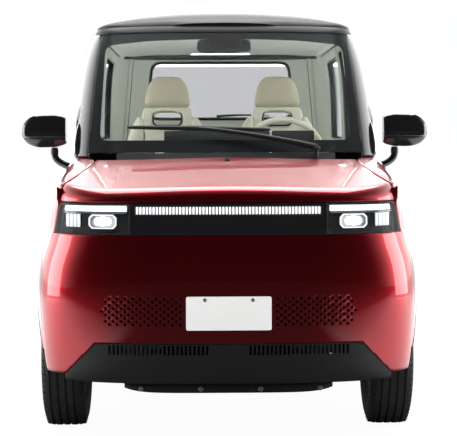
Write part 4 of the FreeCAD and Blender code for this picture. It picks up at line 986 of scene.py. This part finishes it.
print("sides and tail")
rearArch, gateHalf = car["rearAxle"], car["gateHalf"]
quarter = wallSkin("quarterSkin", lower, 326.4, 1029.2, side(car["quarterFront"]), tail(gateHalf + 6), 12, cell=15.0,
                   cut=[block("lampZone", 525.4, 800, 1300.4, 1600, 640.4, 959.6),
                        block("bumperZone", 0, 800, 1289.0, 1600, 0, 600), archCutter(rearArch)],
                   edge=(2.0, 3), look="redPaint")
quarterCore = wallSkin("quarterCore", lower, 330, 1026, side(414), tail(516), 44, 12.4, 26.0,
                       cut=[block("lampZone", 520, 800, 1296, 1600, 634, 966),
                            block("bumperZone", 0, 800, 1285, 1600, 0, 604), archCutter(rearArch, 326)],
                       edge=(4.0, 2), look="paleTrim")
put(both(joined("quarterPanels", [quarter, quarterCore])), "quarter_panels")


def lampBar(z, height, look):
    return wallSkin("lampBarPiece", lower, z, z + height, side(1312), tail(536), 6, -1.2, 10.0, edge=(2.0, 2),
                    look=look)


rearLampSet = [wallSkin("rearLamps", lower, 644, 956, side(1304), tail(529), 12, cell=10.0, edge=(3.0, 3),
                        look="redLens"),
               wallSkin("lampBack", lower, 643, 957, side(1303), tail(528), 30, 16, 16.0, look="satinBlack"),
               lampBar(656, 28, "amber")] + [lampBar(z, 26, "redLens") for z in (700, 760, 820, 880)]
put(both(joined("rearLampSet", rearLampSet)), "rear_lamps")
quarterSeal = [(sideX(upper, y, z) - 6, y, z) for y, z in roundedOutline(shrunk(quarterWindow, 3), 24, 6)]
quarterFrameSet = [
    wallSkin("quarterFrames", upper, 1030.4, 1518.6, side(car["quarterFront"]), gateEdge(6), 32,
             cut=[sideHole(quarterWindow, 0)], edge=(2.0, 3), look="glossBlack"),
    wallSkin("quarterTrim", upper, 1034, 1514, side(414), gateEdge(12), 4, 33, 18.0,
             cut=[sideHole(quarterWindow, -8, 28)], look="paleTrim"),
    tube("seal", quarterSeal, 4, 8, look="rubber")]
put(both(joined("quarterFrameSet", quarterFrameSet)), "quarter_frames")
quarterPane = wallSkin("quarterGlass", upper, 1055, 1490, side(430), side(1110), 5, 8, 20.0,
                       keep=[sideHole(quarterWindow, 0.7)], look="glass")
put(both(quarterPane), "quarter_glass")

sill = wallSkin("sillSkins", lower, car["sillLow"], 323.6, side(-605.0), side(625.0), 40, cell=16.0, edge=(4.0, 3),
                look="grainBlack")
put(both(sill), "sills")
trimRadius = 309.5
trims = []
for axle in (car["frontAxle"], car["rearAxle"]):
    start = math.asin((237 - car["tyre"]) / 309.0)
    path = []
    for k in range(61):
        a = math.pi - start - (math.pi - 2 * start) * k / 60
        y, z = axle + trimRadius * math.cos(a), car["tyre"] + trimRadius * math.sin(a)
        path.append((sideX(lower, y, z) - 3.5, y, z))
    trims.append(tube("archTrim", path, 5.0, 10, look="grainBlack"))
put(both(joined("archTrims", trims)), "arch_trims")

gateSet = [wallSkin("gateSkin", lower, 606.4, 1029.2, tail(gateHalf), tail(), 43, edge=(3.0, 3), look="redPaint"),
           wallSkin("gateInner", lower, 614, 1024, tail(gateHalf - 8), tail(), 3, 43.6, 30.0, look="paleTrim"),
           wallSkin("gateBar", lower, 690, 716, tail(210), tail(), 8, -6, 12.0, edge=(3.5, 3), look="glossBlack")]
for x in (-110.0, 110.0):
    y = tailY(lower, x, 690) + 4
    gateSet.append(tube("plateLamp", [(x - 16, y, 688), (x + 16, y, 688)], 4, 10, look="dayLight"))
put(joined("tailgatePanel", gateSet), "tailgate_panel", "tailgate")
gateSealPath = [(x, tailY(upper, x, z) - 34, z) for x, z in roundedOutline(rearWindow, 58, 8)]
gateFrameSet = [wallSkin("gateFrame", upper, 1030.4, 1507.6, gateEdge(), tail(), 32, cut=[rearHole(0, 58)],
                         edge=(2.5, 3),
                         look="glossBlack"),
                wallSkin("gateTrim", upper, 1034, 1502, gateEdge(-6), tail(), 5, 33.5, 18.0, cut=[rearHole(-8, 64)],
                         look="paleTrim"),
                loopTube("gateSeal", gateSealPath, 8.0, look="rubber")]
gateFrameSet += [tube("lug", [(way * 158, 1318, 1512.5), (way * 192, 1318, 1512.5)], 6.0, 16, look="castBlack")
                 for way in (-1, 1)]
put(joined("tailgateFrameSet", gateFrameSet), "tailgate_frame", "tailgate")
gateGlass = wallSkin("tailgateGlass", upper, 1170, 1495, tail(420), tail(), 5, 8, 24.0, keep=[rearHole(0.5, 57)],
                     look="rearGlass")
put(gateGlass, "tailgate_glass", "tailgate")
rearWiper = tube("rearWiper", [(x, tailY(upper, x, 1210) + 5, 1205 + 6 * math.sin(math.pi * k / 20))
                               for k, x in enumerate(steps(-20, 260, 21))],
                 [3 + 5 * (1 - k / 20) for k in range(21)], 10,
                 look="satinBlack")
put(rearWiper, body="tailgate")

plateZone = prism("plateZone", roundedBox(-170, 170, 470, 605, 14), "y", 1466, 1600)
bumper = wallSkin("rearBumperSkin", lower, 330, 599.0, side(1290), tail(), 34, cut=[plateZone, bothArches(rearArch)],
                  edge=(3.0, 3), look="redPaint")
put(bumper, "rear_bumper")
fins = [block("fin", x - 5, x + 5, 1440, 1500, 252, 312) for x in range(-330, 331, 44)]
skirt = wallSkin("rearSkirt", lower, 235, 329.2, side(1290), tail(), 30, 4, 12.0, edge=(2.0, 2), look="grainBlack",
                 cut=[joined("fins", fins), bothArches(rearArch)])
put(skirt, "rear_skirt")
reflector = wallSkin("reflector", lower, 350, 378, tail(520), tail(400), 4, -2, 12.0, edge=(1.5, 2), look="redLens")
put(both(joined("reflectors", [reflector])))

print("wheels")
tyreStyle = {"segments": 120, "grooves": (-42, -14, 14, 42), "lugs": 66,
             "rows": ((-61, 0.0, 261.2), (-28, 0.5, 265.2),
             (0, 0.0, 265.2), (28, 0.5, 265.2), (61, 0.0, 261.2))}
tyreHalf = [(58, 165.4), (64, 172), (72, 190), (76.5, 215), (75, 238), (69, 255), (60, 262.5)]
tyreProfile = [(-a, r) for a, r in tyreHalf]
for g in tyreStyle["grooves"]:
    tyreProfile += [(g - 4.2, 265.3), (g - 3.2, 258.5), (g + 3.2, 258.5), (g + 4.2, 265.3)]
tyreProfile += reversed(tyreHalf)
rimStyle = {"windows": 6, "nuts": 4, "nutRadius": 50}
rimProfile = [(-58, 164.6), (58, 164.6), (60, 168), (57, 169), (54, 158), (48, 152), (36, 148), (30, 120), (33, 70),
              (40, 56), (44, 50), (44, 0.01), (20, 0.01), (20, 60), (22, 110), (24, 146), (-50, 156), (-57, 168),
              (-60, 168)]
capProfile = [(40, 0.01), (40, 30), (46, 29), (50, 22), (51, 0.01)]
nutProfile = [(38, 0.01), (38, 8), (47, 8), (50, 5), (50, 0.01)]
brakeProfile = [(-56, 60), (-56, 118), (-46, 118), (-46, 60), (20, 58), (20, 50), (-56, 50)]
for end in ("front", "rear"):
    for hand, way in (("left", 1), ("right", -1)):
        axle, centre = car[end + "Axle"], car["tyre"]
        middle = (way * car["wheelX"], axle, centre)

        def turned(name, profile, count, look, place=middle):
            return spun(name, [(way * a, r) for a, r in profile], "x", place, count, look=look)

        rubber = turned("tyreSkin", tyreProfile, tyreStyle["segments"], "rubber")
        lug = block("lug", -8.5, 8.5, -2.6, 2.6, -3.0, 0.6, edge=(0.8, 1))
        places = []
        for k in range(tyreStyle["lugs"]):
            for x, lag, radius in tyreStyle["rows"]:
                a = 2 * math.pi * (k + lag) / tyreStyle["lugs"]
                places.append(((middle[0] + x, axle - radius * math.sin(a), centre + radius * math.cos(a)),
                               (a, 0, 0)))
        tyre = joined("tyre_" + end + hand.title(), [rubber, repeated("tread", lug, places, "rubber")])
        put(tyre, "tyre_" + end + "_" + hand, "wheel_" + end + "_" + hand, 40)
        cutters = []
        for k in range(rimStyle["windows"]):
            turn = 2 * math.pi * k / rimStyle["windows"]
            outline = roundedOutline([(math.cos(turn) * r - math.sin(turn) * w,
                                       math.sin(turn) * r + math.cos(turn) * w)
                                      for r, w in ((78, -16), (134, -34), (134, 34), (78, 16))], 10, 4)
            cutters.append(prism("window", [(axle + a, centre + b) for a, b in outline], "x",
                                 *sorted((middle[0], middle[0] + way * 80))))
        disc = turned("rimSkin", rimProfile, 72, "silver")
        worked(disc, "silver", (2.0, 2, 40), [joined("windows", cutters)])
        rimSet = [disc, turned("cap", capProfile, 40, "glossBlack"), turned("brake", brakeProfile, 60, "brakeDisc")]
        for b, c in circle((axle, centre), rimStyle["nutRadius"], 2 * rimStyle["nuts"])[1::2]:
            rimSet.append(turned("nut", nutProfile, 6, "chrome", (middle[0], b, c)))
        put(joined("rim_" + end + hand.title(), rimSet), "rim_" + end + "_" + hand,
            "wheel_" + end + "_" + hand)

print("cabin")


def onColumn(made):
    return moved(made, 248, -215, 1000, 24)


dashOutline = roundedOutline([(-740, 962.4), (-740, 1000), (-520, 1047), (-455, 1034), (-430, 960), (-470, 800),
                              (-560, 763), (-685, 763), (-685, 962.4)], [4, 16, 26, 20, 26, 30, 12, 4, 4], 5)
tunnel = onColumn(tube("tunnel", [(0, -264, 0), (0, -64, 0)], 31.0, 40))
dashSet = [prism("dashShell", dashOutline, "x", -529, 529, cut=[tunnel], edge=(7.0, 3, 60), look="paleTrim"),
           block("shelf", -480, 180, -470, -436, 842, 856, edge=(5, 3), look="beige"),
           block("screenShelf", -255, 372, -522, -486, 1040, 1049, edge=(3, 2), look="satinBlack")]
for x in (-470, 430):
    dashSet.append(block("vent", x - 42, x + 42, -452, -436, 930, 986, edge=(5, 3), look="satinBlack"))
    dashSet += [block("vane", x - 36, x + 36, -438, -430, z, z + 3, edge=(1, 1), look="silver")
                for z in range(937, 987, 10)]
dashSet += [spun("knob", [(-2, 0.01), (-2, 13), (10, 12), (12, 9), (12, 0.01)], "y", (x, -452, 905), 28,
                 look="satinBlack") for x in (-90, -40, 10)]
put(joined("dashSet", dashSet), "dashboard")
fittings = []
for x0, x1 in ((-245, 182), (190, 362)):
    fittings += [prism("slab", roundedBox(x0, x1, 1049, 1109, 8, 4), "y", -512, -499, edge=(2, 2, 32),
                       look="satinBlack"),
                 prism("face", roundedBox(x0 + 6, x1 - 6, 1055, 1103, 4, 3), "y", -499.5, -498.2, look="screen")]
for x, width in ((215, 50), (300, 44)):
    fittings += [block("pedal", x - width / 2, x + width / 2, -566, -556, 300, 372, edge=(3, 2), look="rubber"),
                 tube("pedalArm", [(x, -567, 345), (x, -568, 480), (x, -572, 620)], 6, look="steel"),
                 block("bracket", x - 10, x + 10, -591, -562, 590, 625, look="castBlack")]
put(joined("dashFittings", fittings), "dash_fittings")

wheelStyle = {"radius": 172, "grip": 13, "spokes": ((-166, 14), (166, 14), (0, -166))}
gripRing = [(wheelStyle["grip"] * math.cos(a), wheelStyle["radius"] + wheelStyle["grip"] * math.sin(a))
            for a in steps(0, 2 * math.pi * 15 / 16, 16)]
wheelParts = [spun("wheelRim", gripRing, "y", (0, 0, 0), 96, look="cream"),
              prism("hub", roundedOutline(symmetric([(62, -44), (74, 26)]), 22, 6), "y", -34, 5, edge=(8, 4),
                    look="beige")]
for x, z in wheelStyle["spokes"]:
    path = [(x * t, -6 + 4 * t, z * t) for t in steps(0.2, 0.97, 9)]
    wheelParts.append(tube("spoke", path, [17 - 5 * k / 8 for k in range(9)], 14, look="beige" if x else "silver"))
put(onColumn(joined("steeringWheelSet", wheelParts)), "steering_wheel", "steering_wheel")
stalks = [tube("columnStalk", [(way * 20, -60, 4), (way * 90, -52, 14), (way * 150, -46, 20)], [6, 5, 8],
               look="satinBlack") for way in (-1, 1)]
put(onColumn(joined("columnStalks", stalks)))

trimSet = []
for x in (-420, 90):
    trimSet.append(prism("visor", roundedBox(x, x + 330, -310, -170, 22), "z", 1494, 1504, edge=(4, 3, 32),
                         look="headCloth"))
    trimSet += [tube("visorPin", [(x + dx, -300, 1502), (x + dx, -300, 1530)], 5, look="silver") for dx in (30, 300)]
trimSet += [prism("insideMirror", roundedOutline(symmetric([(115, 1436), (108, 1488)]), 20, 5), "y", -352, -332,
                  edge=(5, 3, 32), look="satinBlack"),
            prism("insideGlass", roundedOutline(symmetric([(107, 1441), (101, 1483)]), 17, 5), "y", -332.5, -331,
                  look="mirror"),
            tube("mirrorArm", [(0, -342, 1485), (0, -342, 1528)], 7, 14, look="satinBlack")]
put(joined("cabinTrimSet", trimSet), "cabin_trim")

print("seats")
seatStyle = {"x": 254.0, "lean": 7.0, "low": 400.0, "rearY": 237.4, "voxel": 12.5, "pressure": 4.0, "frames": 20,
             "bench": 318, "benchLean": 10}
clothStyle = {"mass": 0.3, "tension_stiffness": 15, "compression_stiffness": 15, "bending_stiffness": 0.8,
              "quality": 5,
              "use_pressure": True, "uniform_pressure_force": seatStyle["pressure"]}


def puffed(made, cap):
    # lets air pressure round the stuffed piece, then holds each point within the cap of where it began
    before = [v.co.copy() for v in made.data.vertices]
    cloth = made.modifiers.new("cloth", "CLOTH")
    for key, value in clothStyle.items():
        setattr(cloth.settings, key, value)
    cloth.settings.effector_weights.gravity = 0
    cloth.point_cache.frame_start = 1
    cloth.point_cache.frame_end = seatStyle["frames"]
    scene = bpy.context.scene
    for number in range(1, seatStyle["frames"] + 1):
        scene.frame_set(number)
    settle(made)
    scene.frame_set(1)
    for v, start in zip(made.data.vertices, before):
        shift = v.co - start
        if shift.length > cap * mm:
            v.co = start + shift * (cap * mm / shift.length)


def stuffed(name, shape, cap, look="cream"):
    modified(shape, "REMESH", mode="VOXEL", voxel_size=seatStyle["voxel"] * mm)
    puffed(shape, cap)
    modified(shape, "SMOOTH", factor=0.5, iterations=3)
    modified(shape, "SUBSURF", levels=1, render_levels=1)
    shape.name = name
    return coloured(shape, look)


hole = prism("backHole", roundedBox(-68, 68, 1146, 1223, 30, 6), "y", -30, 200)
centreHalf = [(118, 408), (128, 860), (120, 1010), (112, 1110), (124, 1190), (108, 1246)]
backCentre = prism("backCentre", roundedOutline(symmetric(centreHalf), 20, 5), "y", 12, 86, cut=[hole])
bolster = prism("bolster", roundedOutline([(112, 410), (192, 410), (205, 860), (202, 1010), (176, 1112), (138, 1190),
                                           (112, 1196), (108, 1110), (114, 1010), (118, 860)], 16, 5), "y", 2, 90,
                edge=(12, 4))
headPiece = prism("headPiece", roundedOutline(symmetric([(110, 1238), (98, 1300), (86, 1342), (60, 1378)]), 20, 6),
                  "y",
                  6, 88, edge=(12, 4))
shellBack = prism("shellBack", roundedOutline(symmetric([(176, 420), (186, 860), (166, 1010), (128, 1090)]), 20, 5),
                  "y",
                  86, 93, edge=(3, 2, 32), look="paleTrim")
holeRing = [(x, 20, z) for x, z in roundedBox(-66, 66, 1149, 1220, 28, 6)]
backParts = [stuffed("backCentre", backCentre, 8.0), both(stuffed("bolster", bolster, 8.0)),
             stuffed("headPiece", headPiece, 7.0, "beige"), shellBack,
             loopTube("holeRing", holeRing, 4.5, look="satinBlack")]
for way in (-1, 1):
    line = [(way * 116, 16, 430), (way * 122, 8, 640), (way * 126, 6, 860), (way * 108, 8, 1010),
            (way * 92, 12, 1086)]
    backParts.append(tube("piping", line, 3.2, 8, look="beige"))
seatBack = joined("seatBackLeft", backParts)
base = Vector((0, 0, seatStyle["low"])) * mm
place = Vector((seatStyle["x"], seatStyle["rearY"], 0)) * mm
lean = Matrix.Rotation(math.radians(-seatStyle["lean"]), 4, "X")
seatBack.data.transform(Matrix.Translation(place + base) @ lean @ Matrix.Translation(-base))
seatBacks = joined("seatBacks", [seatBack, moved(copied(seatBack), -2 * seatStyle["x"], 0, 0)])
put(seatBacks, "seat_backs", angle=60)

cushionParts = [stuffed("cushionCentre", block("c", -128, 128, -176, 228, 352, 470, edge=(22, 4)), 10.0),
                both(stuffed("cushionSide", block("s", 122, 200, -180, 230, 340, 478, edge=(24, 4)), 9.0))]
cushionParts += [tube("seam", [(x, y, 478.5 - 0.0002 * x * x) for x in steps(-112, 112, 15)], 2.6, 8, look="beige")
                 for y in (-60, 60, 150)]
cushionParts += [tube("seam", [(way * 124, y, 474) for y in steps(-150, 215, 12)], 3.0, 8, look="beige")
                 for way in (-1, 1)]
cushionParts += [block("cushionBase", -196, 196, -170, 232, 331, 372, edge=(10, 3), look="satinBlack"),
                 block("buckle", -214, -200, 150, 190, 440, 520, edge=(4, 3), look="satinBlack")]
cushions = both(moved(joined("cushionLeft", cushionParts), seatStyle["x"], 0, 0), "seatCushions")
put(cushions, "seat_cushions", angle=60)


def threeAbreast(made):
    return [made] + [moved(copied(made), way * seatStyle["bench"], 0, 0) for way in (-1, 1)]


benchParts = threeAbreast(stuffed("benchSeat", block("b", -155, 155, 654, 990, 432, 530, edge=(22, 4)), 8.0))
backParts = threeAbreast(stuffed("benchBack", block("b", -155, 155, 10, 80, 14, 410, edge=(20, 4)), 8.0))
benchBack = moved(joined("benchBack", backParts), 0, 1006, 431.8, -seatStyle["benchLean"])
benchBase = block("benchBase", -478, 478, 650, 990, 421, 452, edge=(8, 3), look="carpet")
bench = joined("rearBench", benchParts + [benchBack, benchBase])
put(bench, "rear_bench", angle=60)

# finishes of the solids that show as they are
nodeFinish = {"arch_liners": "castBlack", "battery_pack": "battery", "chassis_frame": "castBlack", "cowl": "deepBlack",
              "floor_pan": "carpet", "knuckle_left": "steel", "knuckle_right": "steel", "rack_bar": "steel",
              "rear_axle": "castBlack", "suspension": "castBlack", "steering_column": "satinBlack"}
for name, look in nodeFinish.items():
    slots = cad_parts[name].data.materials
    for k in range(len(slots)):
        slots[k] = mats[look]

print("camera and lights")
stageStyle = {"floor": 0.86, "floorVary": 0.015, "floorGlow": 0.93, "glowPower": 1.03, "floorDark": 0.05,
              "skyDim": (1.15, 1.15, 1.16, 1), "skyHigh": 2.0, "skyLow": 0.02}


def ramp(node, value, start, end, first=0.0, last=1.0, kind="LINEAR"):
    return node("MapRange", {"Value": value, "From Min": start, "From Max": end, "To Min": first, "To Max": last},
                interpolation_type=kind).outputs[0]


def maths(node, operation, a, b=0.5):
    return node("Math", {0: a, 1: b}, operation=operation).outputs[0]


def seenDirectly(node, path):
    return maths(node, "MAXIMUM", path["Is Camera Ray"], path["Is Transmission Ray"])


def stageMaterial():
    # floor that glows for the camera and looks dark in the car's lower reflections
    made = bpy.data.materials.new("studioFloor")
    made.use_nodes = True
    node = wiring(made.node_tree)
    where = node("TexCoord").outputs["Object"]
    path = node("LightPath").outputs
    cloud = node("TexNoise", {"Vector": where, "Scale": 3.0}).outputs["Fac"]
    tones = [(c, c, c, 1) for c in (stageStyle["floor"] * (1 - stageStyle["floorVary"]), stageStyle["floor"])]
    tone = node("Mix", {0: cloud, 6: tones[0], 7: tones[1]}, data_type="RGBA").outputs[2]
    place = node("SeparateXYZ", {0: where}).outputs
    away = ramp(node, maths(node, "ABSOLUTE", place["X"]), 0.95, 1.2)
    bright = maths(node, "MULTIPLY", away, ramp(node, place["Y"], -3.6, -2.2))
    shaded = maths(node, "MULTIPLY", path["Is Glossy Ray"], maths(node, "SUBTRACT", 1.0, bright))
    dark = (*[stageStyle["floorDark"]] * 3, 1)
    dimmer = node("Mix", {0: shaded, 6: tone, 7: dark}, data_type="RGBA").outputs[2]
    surface = node("BsdfDiffuse", {"Color": dimmer}).outputs[0]
    glow = node("Emission", {"Strength": stageStyle["glowPower"]}).outputs[0]
    share = maths(node, "MULTIPLY", seenDirectly(node, path), stageStyle["floorGlow"])
    node("OutputMaterial", {"Surface": node("MixShader", {0: share, 1: surface, 2: glow}).outputs[0]})
    return made


floor = meshObject("studioFloorPlane", [(-60, -40, 0), (60, -40, 0), (60, 900, 0), (-60, 900, 0)], [(0, 1, 2, 3)],
                   1.0)
floor.data.materials.append(stageMaterial())

sky = bpy.data.worlds.new("studio")
bpy.context.scene.world = sky
sky.use_nodes = True
node = wiring(sky.node_tree)
path = node("LightPath").outputs
parts = node("SeparateXYZ", {0: node("TexCoord").outputs["Generated"]}).outputs
ahead = ramp(node, parts["Y"], -0.55, 0.25, stageStyle["skyLow"], stageStyle["skyHigh"], "SMOOTHSTEP")
ceiling = ramp(node, parts["Z"], 0.40, 0.80, 1.0, 0.06, "SMOOTHSTEP")
mirrorLight = node("Background", {"Color": (1, 1, 1, 1), "Strength": maths(node, "MULTIPLY", ahead,
                                                                           ceiling)}).outputs[0]
dim = node("Background", {"Color": stageStyle["skyDim"]}).outputs[0]
white = node("Background", {"Color": (1, 1, 1, 1)}).outputs[0]
first = node("MixShader", {0: path["Is Glossy Ray"], 1: dim, 2: mirrorLight}).outputs[0]
second = node("MixShader", {0: seenDirectly(node, path), 1: first, 2: white}).outputs[0]
node("OutputWorld", {"Surface": second})


def lamp(name, place, aim, width, height, power, inGloss=True):
    light = bpy.data.lights.new(name, "AREA")
    light.shape = "RECTANGLE"
    light.size, light.size_y = width, height
    light.energy = power
    made = linked(name, light)
    made.location = place
    made.rotation_euler = (Vector(aim) - Vector(place)).to_track_quat("-Z", "Y").to_euler()
    made.visible_glossy = inGloss


for name, way in (("left", -1), ("right", 1)):
    lamp(name + "Box", (way * 5.6, -0.2, 1.4), (0, -0.4, 0.8), 3.0, 2.6, 110)
    lamp("front" + name.title() + "Box", (way * 4.8, -4.6, 1.2), (way * 0.3, -1.2, 0.6), 4.4, 2.6, 40, False)
lamp("overhead", (0, 0.9, 4.2), (0, -0.2, 0.5), 4.0, 3.0, 250)
lamp("rear", (0, 5.0, 2.6), (0, 1.0, 0.9), 4.0, 2.0, 120)

eye = bpy.data.cameras.new("photoCamera")
eye.lens = 116.04
eye.sensor_width = 36.0
eye.clip_end = 2000
camera = linked("photoCamera", eye)
camera.location = (-0.074, -6.475, 1.052)
camera.rotation_euler = (math.radians(87.16), math.radians(0.2), math.radians(-0.856))
bpy.context.scene.camera = camera
bpy.context.scene.view_settings.view_transform = "Standard"
